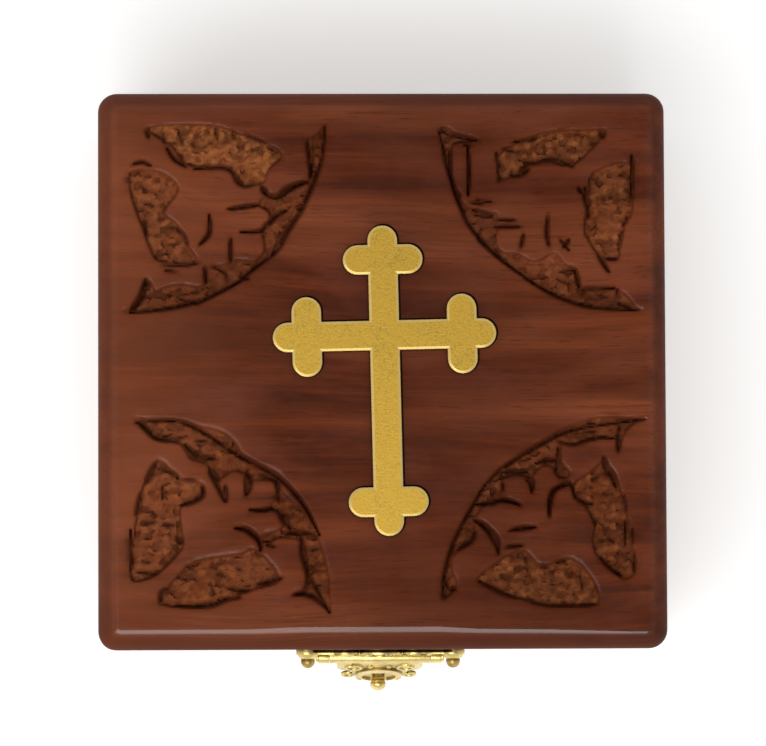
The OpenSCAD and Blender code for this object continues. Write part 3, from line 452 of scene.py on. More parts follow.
# The carver's short strokes, which drew the veins and roughened the grounds: width in mm, points
STROKES = [
    # Back left
    (0.8, [(-42.3, 43.2), (-41.8, 41.6)]), (0.8, [(-39.3, 43), (-38.9, 40.6)]),
    (0.8, [(-36.4, 42.7), (-35.8, 40.7)]), (0.7, [(-34.6, 40.8), (-32.6, 39.8), (-30.6, 40.8)]),
    (0.9, [(-30, 43), (-29.4, 41.4)]), (0.7, [(-27, 42.8), (-26.2, 41.4)]),
    (0.7, [(-24.4, 42), (-22.4, 41.2), (-20.9, 40.6)]), (0.8, [(-20.6, 40), (-18.6, 39)]),
    (0.9, [(-38.6, 39.9), (-37.2, 37.8), (-35, 36.4)]),
    (1, [(-33.8, 36), (-31, 36.3), (-28.6, 36.4), (-26.8, 35.6), (-25.9, 33.8), (-24.6, 33), (-23, 33.2)]),
    (1.3, [(-21.6, 32.8), (-20.7, 31.6)]), (0.8, [(-44.8, 36.8), (-43, 37.3), (-41.4, 36.6)]),
    (0.7, [(-43.6, 33.6), (-42.2, 32)]), (0.8, [(-43, 30), (-40.6, 29.4)]),
    (0.9, [(-42.6, 27.4), (-42.4, 24.4)]), (0.9, [(-36.9, 25.4), (-35.6, 24), (-34.9, 22.2)]),
    (0.6, [(-39, 25.7), (-37.2, 25.6)]), (0.8, [(-39.5, 18.9), (-36, 18.8), (-32.6, 19.2)]),
    (0.6, [(-39, 17.8), (-36.6, 17.6)]), (1.8, [(-42.3, 15.8), (-42.9, 13.4), (-44.2, 11.3)]),
    (0.9, [(-36.8, 13), (-33.6, 12), (-31.4, 12.8)]), (0.8, [(-30.6, 18.6), (-28.3, 17.4), (-27.8, 16)]),
    (0.9, [(-25.8, 16.8), (-24, 16.2)]), (1.1, [(-19.8, 20.4), (-18.8, 22.8)]),
    (1.4, [(-20.3, 26), (-19, 27.8), (-17, 28.8)]), (0.8, [(-15.4, 28.8), (-13.9, 29)]),
    (1.3, [(-18.2, 31), (-16, 32.8), (-13.6, 33.8)]), (1.2, [(-13.4, 41), (-12.9, 37.8), (-12.6, 34.4)]),
    # Back right
    (0.9, [(10.8, 42.8), (12.4, 42.2), (15, 41.6), (17.4, 41)]), (0.7, [(14.6, 40.4), (16.2, 40.1)]),
    (0.9, [(12.3, 40), (12.1, 36.4), (12.6, 33.4)]), (0.8, [(15.4, 39.9), (15.6, 35.4), (15.4, 31.4)]),
    (1, [(13, 32), (14, 31)]), (0.7, [(15.8, 30), (18.2, 29.7)]),
    (0.9, [(16.2, 28.7), (18, 28.1), (20, 27.6)]), (0.7, [(20.6, 26.9), (24, 26.7)]),
    (0.8, [(19.8, 25.5), (22, 25.6), (25, 25.5)]), (0.9, [(17.8, 25.4), (17.2, 23.8), (18.2, 22.2)]),
    (0.9, [(20.2, 21.9), (21, 20.4), (22.4, 19.4)]), (1, [(20.4, 38.9), (21, 37), (20.8, 35.4)]),
    (0.7, [(21.1, 35), (20.9, 33.6)]), (0.9, [(21.6, 39.6), (24, 39.2)]),
    (1.2, [(24.6, 37.6), (27, 37.1), (29, 37.7), (31.6, 37.8), (33.2, 37), (34.2, 36.4)]),
    (1.1, [(22.8, 34.8), (24.8, 35), (26.4, 36)]), (0.8, [(23.5, 40.8), (26.4, 41.2), (28.6, 42)]),
    (0.6, [(29.2, 40), (29.2, 38.6)]), (0.6, [(31, 39.8), (31.4, 38.6)]),
    (0.8, [(33.2, 39.6), (34.8, 39)]), (0.7, [(37.4, 40.9), (38.4, 40.4)]),
    (1.5, [(39.2, 42.8), (39.8, 41.6)]), (1, [(44.8, 38.4), (44.9, 34.4), (44.6, 30)]),
    (0.8, [(44.1, 27.8), (43.3, 25.8)]), (0.7, [(43, 24.8), (42.3, 22)]),
    (1, [(40.2, 19.8), (42.2, 19.8)]), (1, [(38.6, 20.8), (39.4, 19.4), (40.6, 17.4)]),
    (0.9, [(36.4, 32.6), (36.3, 31), (36.9, 28.8), (36.9, 27)]), (1, [(35.2, 32.6), (36, 31.6)]),
    (0.6, [(38.2, 25.6), (37.4, 24.8)]), (0.8, [(40.6, 31.2), (41.4, 30.8)]),
    (1, [(34.6, 17.8), (34.9, 16), (35.4, 14.4)]), (0.9, [(29.8, 13.8), (31.6, 13.5)]),
    (0.8, [(35, 11.9), (37.6, 11.5)]), (0.7, [(42.1, 14.2), (42.2, 13)]),
    (1, [(42.4, 11.8), (44.6, 10.9)]), (0.7, [(31.4, 16), (33.4, 15.4)]),
    (1, [(32.4, 21.8), (33.4, 23.2)]),
    # Front left
    (1.2, [(-43.6, -9.5), (-42.4, -10.3), (-41.4, -11.3)]), (0.8, [(-41, -12.2), (-39, -12.5)]),
    (0.7, [(-40.4, -11.5), (-37, -12.1), (-35, -11.8)]),
    (1.6, [(-35.4, -13.2), (-34.2, -14.6), (-32.4, -15.6), (-29.6, -15.9)]),
    (0.7, [(-33.8, -12.8), (-31, -12.6)]), (0.9, [(-32.4, -11.1), (-31.5, -11.6)]),
    (0.7, [(-28.6, -13), (-27.4, -13.2)]), (0.6, [(-28.2, -14.9), (-27.2, -14.8)]),
    (0.7, [(-26.4, -15.4), (-25.4, -15.5)]), (2, [(-31, -17.6), (-30.2, -18.6), (-29.4, -19.8)]),
    (1, [(-28.2, -20.6), (-28.1, -23.6)]), (1.3, [(-24.2, -18.4), (-23.8, -20), (-24.4, -22.4)]),
    (1, [(-22.6, -19.2), (-21, -19.1), (-19.3, -19.8), (-18.8, -21.6), (-18.8, -23.6)]),
    (0.8, [(-23.8, -25), (-21.4, -25.2), (-19.9, -24.7)]),
    (1.6, [(-18.6, -25.6), (-17.6, -27), (-16.6, -28.4)]),
    (1.2, [(-17.6, -29.4), (-15.2, -29.1), (-12.8, -29.1)]),
    (1.2, [(-14.6, -30.2), (-14.5, -32.6), (-13.7, -35.6), (-13.4, -38.6)]),
    (0.7, [(-12.8, -32.2), (-11.6, -32)]),
    (1.3, [(-16.2, -40.2), (-14, -40), (-12, -40.8), (-10.2, -42.6)]),
    (0.8, [(-12.6, -38.4), (-11, -38.6)]), (1.5, [(-40.4, -16.4), (-41.4, -18.4), (-42.3, -20.2)]),
    (1.1, [(-43.1, -21.6), (-44.1, -26)]), (1.1, [(-45.1, -28.6), (-45, -32.6), (-45, -36)]),
    (0.9, [(-39.8, -17.6), (-37.8, -18.4), (-36.6, -19.4)]), (0.8, [(-35.6, -19.7), (-33.6, -19.8)]),
    (1.3, [(-32.2, -21), (-32.4, -22.4), (-34, -23.4), (-36.2, -24.2)]),
    (0.9, [(-39.4, -20.8), (-39.4, -23)]), (0.9, [(-43, -27.3), (-40.6, -27.2)]),
    (0.7, [(-39.8, -27.6), (-37, -27.8)]), (0.8, [(-37.2, -29.4), (-36, -30.8)]),
    (0.7, [(-42.6, -25.4), (-41.4, -25.2)]), (0.8, [(-43, -34), (-41.6, -34.4)]),
    (1, [(-44, -36), (-40.4, -36.4)]), (1.4, [(-39.8, -41.4), (-39.4, -39.8), (-38.4, -39)]),
    (1.2, [(-37, -42), (-33.6, -42.2), (-30.4, -41.8), (-28, -40.9), (-25.6, -40.7)]),
    (1.2, [(-28, -38.9), (-26.2, -39.3), (-24, -39.5)]),
    (1.2, [(-23, -38.4), (-20.4, -37.8), (-18.2, -37.2)]), (0.7, [(-31, -35.3), (-29.4, -35.4)]),
    (0.8, [(-30, -36.5), (-28.2, -36.6)]), (0.8, [(-26.4, -35.2), (-25.4, -35.8)]),
    (0.9, [(-35.2, -35.1), (-33.8, -35.5)]), (0.9, [(-36.8, -37), (-34.8, -37.5)]),
    (0.6, [(-31, -37.8), (-30.4, -40)]),
    (1, [(-26.4, -28.3), (-24.6, -28.4), (-23.4, -29.2), (-22.4, -30.2), (-22, -32.2)]),
    (0.7, [(-20.8, -31.3), (-19.4, -31.6)]),
    # Front right
    (0.8, [(43.4, -9.3), (46, -9.1)]), (1.1, [(42.4, -10.2), (42.2, -12.2), (42, -14.8)]),
    (1, [(31.3, -12.9), (34, -13.4), (36.6, -12.6), (39, -12.2), (41.6, -12.5)]),
    (1, [(31.3, -14), (31.2, -16.2), (30.8, -18.6)]), (0.8, [(32.6, -11.2), (35.6, -10.6)]),
    (0.9, [(36.6, -9.6), (38, -9.7)]), (0.6, [(34.4, -11.5), (38.4, -11.1)]),
    (1.6, [(27.4, -16.9), (29.4, -16.2), (31, -16.4)]), (0.8, [(24.2, -16.6), (26.2, -16)]),
    (1, [(20.9, -19.2), (21.6, -18.3), (25.2, -18.3), (26.2, -18.8)]),
    (1.1, [(25.6, -19.8), (26.3, -20.2), (26.6, -22)]), (0.6, [(21.3, -20.2), (21.5, -22)]),
    (1, [(16.8, -24.1), (19.4, -24), (21.2, -23.4), (24.4, -24.2)]),
    (1.1, [(29.6, -26.4), (29.8, -23.2), (30.8, -21.4), (33.4, -20.6)]),
    (1, [(34, -21.4), (34.4, -22.8), (36, -23.9), (37.4, -24.1)]),
    (1.5, [(39.5, -15.8), (39.8, -17.6), (41, -19.2), (41.6, -21)]), (0.8, [(37.4, -19.8), (38.6, -19.3)]),
    (0.8, [(43, -22.8), (43.4, -25.6)]), (0.9, [(43.3, -27.4), (43.3, -29.6), (43.2, -32)]),
    (0.7, [(44.4, -28.2), (44.4, -31.2)]), (0.8, [(44.7, -32.8), (44.8, -36.2)]),
    (0.7, [(37.7, -26.8), (37.9, -28)]), (0.9, [(40.2, -30.2), (41.2, -31)]),
    (1, [(38.6, -33.6), (39.8, -34.9), (41, -36), (42.6, -37.2)]), (0.6, [(39, -22.4), (40.6, -22.5)]),
    (1.3, [(15.8, -26.8), (17.4, -27.6), (18.8, -28.8), (20.3, -30.6), (20.4, -33)]),
    (1.2, [(16.4, -29), (15.6, -30.6), (13.2, -32.2)]), (0.8, [(22.4, -28.9), (25, -28.3), (27.4, -28.4)]),
    (0.8, [(21.6, -31.8), (25, -31.5)]), (0.8, [(25.2, -33.6), (25.8, -34.9)]),
    (0.7, [(27.6, -35.4), (29.4, -35.4)]), (0.7, [(31, -34.6), (32.8, -34.2)]),
    (0.6, [(31.8, -36), (33.2, -35.8)]), (0.7, [(29.6, -38.4), (32, -38.7)]),
    (1.2, [(17, -37.8), (18.8, -38.7), (21, -39.8), (24.2, -41)]),
    (0.9, [(26, -41.6), (30, -42.2), (35.4, -42.2), (38, -42)]), (0.8, [(35.2, -37), (35.6, -39.6)]),
    (1, [(10.9, -37), (11.5, -39), (12.8, -39.4)]), (0.6, [(11.7, -33.6), (11.3, -36)]),
]
print("drawings:", len(GROUNDS), "grounds,", len(CUTS), "cuts and", len(STROKES), "strokes")

# %% [markdown]
# A gouge leaves a smooth line, so a few points are enough, and a curve is run through them. The
# same curve closes on itself for a ground's outline.

# %% Smooth curves through the drawn points
lid_low, lid_high = (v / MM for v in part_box("lid_top_panel"))


def smooth_through(drawn, cuts, closed):
    """A smooth curve through drawn points, with so many steps from each to the next."""
    p = np.array(drawn, float)
    n = len(p)
    found = []
    for i in range(n if closed else n - 1):
        pick = [(i + k) % n if closed else min(max(i + k, 0), n - 1) for k in (-1, 0, 1, 2)]
        a, b, c, d = (p[j] for j in pick)
        for k in range(cuts):
            s = k / cuts
            found.append(0.5 * (2 * b + (c - a) * s + (2 * a - 5 * b + 4 * c - d) * s * s
                                + (3 * b - a - 3 * c + d) * s ** 3))
    if not closed:
        found.append(p[-1])
    return np.array(found)


def to_line(points, line, closed=False):
    """Each point's distance to a line, how far along it, from 0 to 1, and the line's nearest place."""
    ends = np.roll(line, -1, 0) if closed else line[1:]
    starts = line if closed else line[:-1]
    best = np.full(len(points), 1e9)
    along, place = np.zeros(len(points)), np.zeros((len(points), 2))
    for k, (a, b) in enumerate(zip(starts, ends)):
        ab = b - a
        s = np.clip(((points - a) @ ab) / (ab @ ab), 0, 1)
        here = a + s[:, None] * ab
        far = np.hypot(*(points - here).T)
        nearer = far < best
        best = np.where(nearer, far, best)
        along = np.where(nearer, (k + s) / len(starts), along)
        place = np.where(nearer[:, None], here, place)
    return best, along, place


def inside(points, outline):
    """Which points lie inside a closed outline."""
    x, y = points.T
    odd = np.zeros(len(points), bool)
    for (x0, y0), (x1, y1) in zip(outline, np.roll(outline, -1, 0)):
        crosses = (y0 > y) != (y1 > y)
        with np.errstate(divide="ignore", invalid="ignore"):
            odd ^= crosses & (x < (x1 - x0) * (y - y0) / (y1 - y0) + x0)
    return odd


# %% [markdown]
# The heights come next. A ground's wall slopes in across 0.42 mm. Its floor is left by short strokes of
# a gouge, so it is a patchwork of chips a millimetre or so wide, each with a tilt
# and a depth of its own. The nearest of many scattered marks says which chip a point lies in.
# Beside the heights, the same distances give four masks that the wood's finish reads: where the
# ground is bare, where the carving gets painted shade and some dark polish, which chips are deep
# and get painted shade, and where the oil is rubbed off. The shade is painted darkest on the walls at the
# front and left, which face away from the lamp.

# %% Heights and masks of the carving
CUT_DEEP, CHIP_DEEP, CHIP_TILT = 0.95, 0.24, 0.4
WALL_W = 0.42
CHIP_SPACE = 0.8
# The way from a wall into its ground that makes the wall face away from the lamp; there its painted shade is
# darkest
AWAY_FROM_LAMP = np.array((0.6, 0.8))
rng = random.Random(7)


def ease(s):
    s = np.clip(s, 0, 1)
    return s * s * (3 - 2 * s)


def scatter(outline, space, tries=2500):
    """Points inside an outline, none closer together than space."""
    low, high = outline.min(0), outline.max(0)
    tried = np.array([[rng.uniform(low[0], high[0]), rng.uniform(low[1], high[1])] for _ in range(tries)])
    spots = []
    for spot in tried[inside(tried, outline)]:
        if all(np.hypot(*(spot - s)) > space for s in spots):
            spots.append(spot)
    return spots


def rolling(points, scale, seed):
    """Smooth noise from -1 to 1 at each point, with hollows about scale mm wide."""
    return np.array([noise.noise(Vector((x / scale, y / scale, seed))) for x, y in points])


def carve(points):
    """Height in mm, and the bare, cut, pit and rubbed masks, for places on the lid in mm."""
    height, bare, cut, pit, rubbed = (np.zeros(len(points)) for _ in range(5))
    for number, (paleness, polish_and_shade, sunk, drawn) in enumerate(GROUNDS):
        outline = smooth_through(drawn, 3, True)
        near = np.all((points > outline.min(0) - 1.5) & (points < outline.max(0) + 1.5), 1)
        spots = points[near]
        far, _, place = to_line(spots, outline, True)
        far = np.where(inside(spots, outline), far, -far)
        inward = (spots - place) / np.where(np.abs(far) < 1e-6, 1e-6, far)[:, None]
        floor = ease((far + 0.1) / WALL_W)
        lumps = rolling(spots, 1.9, number)
        deep = -sunk * floor * (1 + 0.22 * lumps)
        # The arris outside the wall is rubbed round
        deep -= 0.12 * ease(1 + far / 1.1) * (far < 0)
        # Chips: the nearest mark's depth and tilt
        nearest, chip = np.full(len(spots), 1e9), np.zeros(len(spots))
        tint, dark = np.zeros(len(spots)), np.zeros(len(spots))
        for mark in scatter(outline, CHIP_SPACE):
            off = (spots - mark) * (1, rng.uniform(1, 1.7))
            away = np.hypot(*off.T)
            mine = away < nearest
            nearest = np.where(mine, away, nearest)
            slope = np.array([rng.uniform(-1, 1), rng.uniform(-1, 1)]) * CHIP_TILT
            level = rng.uniform(-1, 1)
            chip = np.where(mine, CHIP_DEEP * level + (spots - mark) @ slope, chip)
            tint = np.where(mine, rng.random() ** 1.5, tint)
            # The deeper a chip lies, the more shade is painted in it
            dark = np.where(mine, max(0, -level * 1.4 - 0.2), dark)
        off_wall = ease((far - 0.05) / 0.35)
        deep += chip * off_wall
        height[near] = np.minimum(height[near], deep)
        paler = floor * paleness * (0.55 + 0.6 * lumps) + 0.6 * tint * off_wall * (0.25 + paleness)
        bare[near] = np.maximum(bare[near], np.clip(paler, 0, 1))
        # Painted shade on a ground's walls, darkest where they face away from the lamp, and with some dark
        # polish in the floors of the narrow bands
        wall = ease(1 - np.abs(far - 0.1) / 0.6) * (0.7 + 0.7 * rolling(spots, 3.5, 40 + number))
        wall *= 0.2 + 0.8 * ease(0.55 + 0.9 * (inward @ AWAY_FROM_LAMP))
        cut[near] = np.maximum(cut[near], np.clip(np.maximum(wall, polish_and_shade * floor * (1 - tint)), 0, 1))
        pit[near] = np.maximum(pit[near], dark * off_wall)
        rubbed[near] = np.maximum(rubbed[near], ease(1 + far / 1.3))
    for width, drawn in CUTS + STROKES:
        line = smooth_through(drawn, 5, False)
        near = np.all((points > line.min(0) - 2) & (points < line.max(0) + 2), 1)
        far, along, _ = to_line(points[near], line)
        half = width / 2 * np.sqrt(np.clip(np.sin(math.pi * np.clip(along, 0.03, 0.97)), 0, 1))
        groove = np.clip(1 - far / half, 0, 1)
        under = np.minimum(0, height[near]) * 0.6
        depth = CUT_DEEP * min(1.0, width)
        height[near] = np.minimum(height[near], under - depth * groove ** 0.8 - 0.08 * ease(1 - far / 1.4))
        # A soft painted shade beside each cut
        shade_halo = 0.5 * ease(1 - (far - half) / 0.6)
        cut[near] = np.maximum(cut[near], np.maximum(ease(groove * 1.6), shade_halo))
        rubbed[near] = np.maximum(rubbed[near], ease(1.4 - far / 1.3))
    return height, bare, cut, pit, rubbed


# %% [markdown]
# The mesh is a grid that is fine over the carved corners and coarse elsewhere, so that the faces
# are spent where there is something to show. Round the grid goes a skirt: the lid's round edge,
# its upright sides and its underside.

# %% The lid's mesh
FINE, COARSE = 0.3, 1.0
ROUND_IN = 4.3
CORNER_R, CORNER_STEPS = 3.4, 8
# The rounding's profile: share of its width in from the edge, and drop in mm. It starts with a narrow
# flat that the plane left, which catches the light
PROFILE = [(1.0, 0.0), (0.97, 0.02), (0.76, 0.22), (0.66, 0.46), (0.52, 0.95), (0.38, 1.5), (0.25, 2.04),
           (0.14, 2.62), (0.055, 3.2), (0.012, 3.65), (0, 4.1)]
# Along the front, how far in the rounding reaches, as a share of its full width at places from the left
FRONT_X = [-50, -24, -15, 10, 17, 30, 44]
FRONT_SHARE = [0.84, 0.86, 0.95, 0.95, 0.85, 0.81, 0.71]
SIDE_SHARE = 0.87
CARVED_FROM, CARVED_TO = 8.2, 45.6
# The arris along the lid's lower edge, given as the profile's steps are: how far in, and its height
ARRIS_IN, ARRIS_UP = 0.004, 0.15


def grid_lines(half):
    """Grid lines from -half to half, fine where the lid is carved."""
    inner = np.arange(0, CARVED_FROM, COARSE)
    carved = np.arange(CARVED_FROM, min(CARVED_TO, half), FINE)
    lines = np.concatenate([inner, carved, [half]])
    return np.concatenate([-lines[:0:-1], lines])


def mesh_object(name, points, faces):
    """A new object from points in metres."""
    data = bpy.data.meshes.new(name)
    data.from_pydata(points, [], faces)
    data.update()
    made = bpy.data.objects.new(name, data)
    scene.collection.objects.link(made)
    return made


half_w, half_d = lid_high.x, lid_high.y
xs, ys = grid_lines(half_w - ROUND_IN), grid_lines(half_d - ROUND_IN)
nx, ny = len(xs), len(ys)
gx, gy = np.meshgrid(xs, ys)
flat_points = np.stack([gx.ravel(), gy.ravel()], 1)
height, bare, cut, pit, rubbed = carve(flat_points)
points = [(x * MM, y * MM, (lid_high.z + h) * MM) for (x, y), h in zip(flat_points, height)]
faces = [(j * nx + i, j * nx + i + 1, (j + 1) * nx + i + 1, (j + 1) * nx + i)
         for j in range(ny - 1) for i in range(nx - 1)]
print("lid grid:", nx, "by", ny)

# %% The skirt round the grid
# Each entry is a grid point on the rim and the place on the lid's outline that it leads to
rim = []
corners = {(1, -1): nx - 1, (1, 1): ny * nx - 1, (-1, 1): (ny - 1) * nx, (-1, -1): 0}


def rim_corner(sx, sy, start):
    index = corners[(sx, sy)]
    centre = (sx * (half_w - CORNER_R), sy * (half_d - CORNER_R))
    for k in range(CORNER_STEPS + 1):
        a = math.radians(start + 90 * k / CORNER_STEPS)
        rim.append((index, (centre[0] + CORNER_R * math.cos(a), centre[1] + CORNER_R * math.sin(a))))


rim += [(i, (xs[i], -half_d)) for i in range(nx)]
rim_corner(1, -1, -90)
rim += [(j * nx + nx - 1, (half_w, ys[j])) for j in range(ny)]
rim_corner(1, 1, 0)
rim += [((ny - 1) * nx + i, (xs[i], half_d)) for i in reversed(range(nx))]
rim_corner(-1, 1, 90)
rim += [(j * nx, (-half_w, ys[j])) for j in reversed(range(ny))]
rim_corner(-1, -1, 180)


def rounding_share(x, y):
    """How far over its full width the rounding reaches in from a place on the outline."""
    at_front = ease((CORNER_R - half_d - y) / CORNER_R)
    return SIDE_SHARE + (np.interp(x, FRONT_X, FRONT_SHARE) - SIDE_SHARE) * at_front


ring = [index for index, _ in rim]
lid_thick = lid_high.z - lid_low.z
levels = PROFILE + [(0, lid_thick - ARRIS_UP), (ARRIS_IN, lid_thick)]
for inward, drop in levels:
    new_ring = []
    for index, (x, y) in rim:
        px, py = flat_points[index]
        share = 1 - inward * rounding_share(x, y)
        new_ring.append(len(points))
        points.append(((px + (x - px) * share) * MM, (py + (y - py) * share) * MM, (lid_high.z - drop) * MM))
    for k in range(len(rim)):
        m = (k + 1) % len(rim)
        face = [ring[k], new_ring[k], new_ring[m], ring[m]]
        faces.append(tuple(dict.fromkeys(face)))
    ring = new_ring
faces.append(tuple(reversed(ring)))
lid_panel = mesh_object("carved_lid", points, faces)
for label, values in (("bare", bare), ("cut", cut), ("pit", pit), ("rubbed", rubbed)):
    layer = lid_panel.data.attributes.new(label, "FLOAT", "POINT")
    layer.data.foreach_set("value", np.pad(values, (0, len(points) - len(values))).astype(np.float32))
print("lid faces:", len(faces))

# %% [markdown]
# ## The cross
#
# The cross is sawn from sheet brass, let into the lid and filed, so its edge is a narrow bevel. The
# bevel's paler colour is partly filed brass and partly a painted highlight. Each end has three buds.
# Its outline is made of straight runs and arcs only, and drawing it again a little smaller gives the
# top of the bevel with the same number of points. Its pocket was cut a little large, and the brass
# lies against the pocket's front left side.

# %% The cross's outline
CROSS_AT, CROSS_TURN = (0.3, 6.1), math.radians(1.2)
BAR, BUD_SPAN, BUD_BACK = 5.3, 14.3, 6.1
REACH = {"back": 19.7, "left": 20.0, "front": 35.9, "right": 20.0}
BUD_STEPS = 14


def arc(centre, r, start, end, steps=BUD_STEPS):
    return [(centre[0] + r * math.cos(math.radians(start + (end - start) * k / steps)),
             centre[1] + r * math.sin(math.radians(start + (end - start) * k / steps)))
            for k in range(steps + 1)]


def cross_outline(inset):
    """The outline in mm on the lid, anticlockwise, drawn in by the inset all round."""
    bar, side = BAR / 2 - inset, (BUD_SPAN - BAR) / 2
    found = []
    for quarter, reach in enumerate(REACH.values()):
        bud = reach - BUD_BACK
        end = [(bar, bud - bar)]
        end += arc((side, bud), bar, -90, 90)
        end += [(bar, bud + bar)]
        end += arc((0, reach - BAR / 2), bar, 0, 180)
        end += [(-bar, bud + bar)]
        end += arc((-side, bud), bar, 90, 270)
        end += [(-bar, bud - bar), (-bar, bar)]
        a = quarter * math.pi / 2 + CROSS_TURN
        found += [(CROSS_AT[0] + x * math.cos(a) - y * math.sin(a),
                   CROSS_AT[1] + x * math.sin(a) + y * math.cos(a)) for x, y in end]
    return found


def tube_faces(rings, sides, open_end=False):
    """A tube's faces: between its rings of points, over its start and, unless it is open, its end."""
    made_faces = []
    for k in range(rings - 1):
        for s in range(sides):
            m = (s + 1) % sides
            made_faces.append((k * sides + s, k * sides + m, (k + 1) * sides + m, (k + 1) * sides + s))
    made_faces.append(tuple(reversed(range(sides))))
    if not open_end:
        made_faces.append(tuple(range((rings - 1) * sides, rings * sides)))
    return made_faces


def stacked(name, rings):
    """A closed solid through outlines with the same number of points, as (outline, height) in mm."""
    made_points = [(x * MM, y * MM, z * MM) for outline, z in rings for x, y in outline]
    return mesh_object(name, made_points, tube_faces(len(rings), len(rings[0][0])))


# %% The cross, and its pocket in the lid
BEVEL_IN, BEVEL_DOWN = 0.45, 0.27
cross_low, cross_high = (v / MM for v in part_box("brass_cross"))
top = cross_high.z
cross = stacked("cross", [
    (cross_outline(0), cross_low.z), (cross_outline(0), top - BEVEL_DOWN),
    (cross_outline(BEVEL_IN * 0.12), top - BEVEL_DOWN * 0.8), (cross_outline(BEVEL_IN), top)])
POCKET_ROOM, POCKET_OFF = 0.2, (0.17, 0.12)
opening = [(x + POCKET_OFF[0], y + POCKET_OFF[1]) for x, y in cross_outline(-POCKET_ROOM)]
pocket = stacked("pocket", [(opening, cross_low.z), (opening, top + 1)])


def apply_modifiers(piece):
    """Turns what a piece's modifiers show into its mesh."""
    bpy.context.view_layer.update()
    graph = bpy.context.evaluated_depsgraph_get()
    shown = piece.evaluated_get(graph)
    data = bpy.data.meshes.new_from_object(shown, preserve_all_data_layers=True, depsgraph=graph)
    piece.modifiers.clear()
    piece.data = data
    print(piece.name, "now has", len(data.polygons), "faces")


def smooth_by_angle(piece, degrees):
    """Smooth shading, with edges sharper than the angle kept crisp."""
    piece.data.shade_smooth()
    piece.data.set_sharp_from_angle(angle=math.radians(degrees))


saw = lid_panel.modifiers.new("pocket", "BOOLEAN")
saw.object, saw.operation, saw.solver = pocket, "DIFFERENCE", "EXACT"
apply_modifiers(lid_panel)
bpy.data.objects.remove(pocket)
smooth_by_angle(lid_panel, 50)
smooth_by_angle(cross, 15)
print("lid with its pocket:", len(lid_panel.data.polygons), "faces")

# %% [markdown]
# Shade is also painted in the lid's hollows, most of all in the corner between the raised brass and the
# wood. The lid's mesh is coarse there, so the shader finds that corner by itself: ambient occlusion says how
# much of the sky a point is shut off from, and close to the cross's edge that is a good part of it.

# %% The carved lid's finish
BARE_WOOD, POLISH_AND_SHADE = srgb(162, 97, 54), srgb(38, 15, 7)


def attribute(tree, name):
    return add(tree, "Attribute", attribute_name=name).outputs["Fac"]


lid_wood, tree, shader, place = start_material("carved_rosewood")
grain = place_group(tree, grain_group, {"Place": place, "Board": 1.0, "Deep": DEEP, "Warm": WARM,
                                        "Pale": PALE, "RosyToneAndSheen": ROSY_TONE_AND_SHEEN})
film = place_group(tree, film_group, {"Zones": grain["Zones"]})
# The board is darker in the middle and along the front than at its sides, and palest at the left
across = add(tree, "SeparateXYZ", {0: place}).outputs
toward_side = calc(tree, "ABSOLUTE", plus(tree, across["X"], -0.01))
colour = blend(tree, span(tree, toward_side, 0.008, 0.026, 0.38, 0.0), grain["Color"], DEEP)
colour = blend(tree, span(tree, across["X"], -0.018, -0.045, 0.0, 0.4), colour, PALE)
colour = blend(tree, span(tree, across["Y"], -0.040, -0.045, 0.0, 0.33), colour, DEEP)
# Painted shade on the rounded edges
colour = blend(tree, film["EdgeShade"], colour, DEEP)
speckle = span(tree, grains(tree, place, (700, 700, 700), 3.0, 0.7), 0.28, 0.62)
colour = blend(tree, times(tree, attribute(tree, "bare"), speckle), colour, BARE_WOOD)
# Painted shade in the deepest chips
colour = blend(tree, times(tree, attribute(tree, "pit"), 0.4), colour, POLISH_AND_SHADE)
# Painted shade in the cuts and on walls facing away from the lamp, with some dark polish
colour = blend(tree, times(tree, attribute(tree, "cut"), 0.66), colour, POLISH_AND_SHADE)
oiled_share = calc(tree, "SUBTRACT", 1.0, attribute(tree, "rubbed"), clamp=True)
open_sky = add(tree, "AmbientOcclusion", {"Distance": 0.002}, samples=8).outputs["AO"]
# Painted shade where the sky is shut off
shade_beside_brass = times(tree, span(tree, open_sky, 0.97, 0.75, 0.0, 0.85), oiled_share)
colour = blend(tree, shade_beside_brass, colour, POLISH_AND_SHADE)
dust = place_group(tree, dust_group, {"Place": place, "Amount": WOOD_DUST})
tree.links.new(blend(tree, dust["Mask"], colour, DUST), shader.inputs["Base Color"])
rough = span(tree, grain["Zones"], 0.3, 0.7, 0.5, 0.62)
rough = plus(tree, rough, times(tree, attribute(tree, "bare"), 0.3))
tree.links.new(rough, shader.inputs["Roughness"])
oiled(shader)
# The oil film is missing in the carving and is rubbed off its arrises
tree.links.new(times(tree, film["Film"], oiled_share), shader.inputs["Coat Weight"])
bump(tree, shader, grain["Height"], GRAIN_DEPTH)

lid_panel.data.materials.clear()
lid_panel.data.materials.append(lid_wood)
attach(lid_panel, "lid")
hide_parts("lid_top_panel")

# %% [markdown]
# ## Brass
#
# The cross is satin brass, kept bright. The latch and the hinges are older castings: yellow on the
# high places and brown in the hollows. One group gives the tarnish for all of them, as patches
# that spread from the hollows, together with fine scratches.

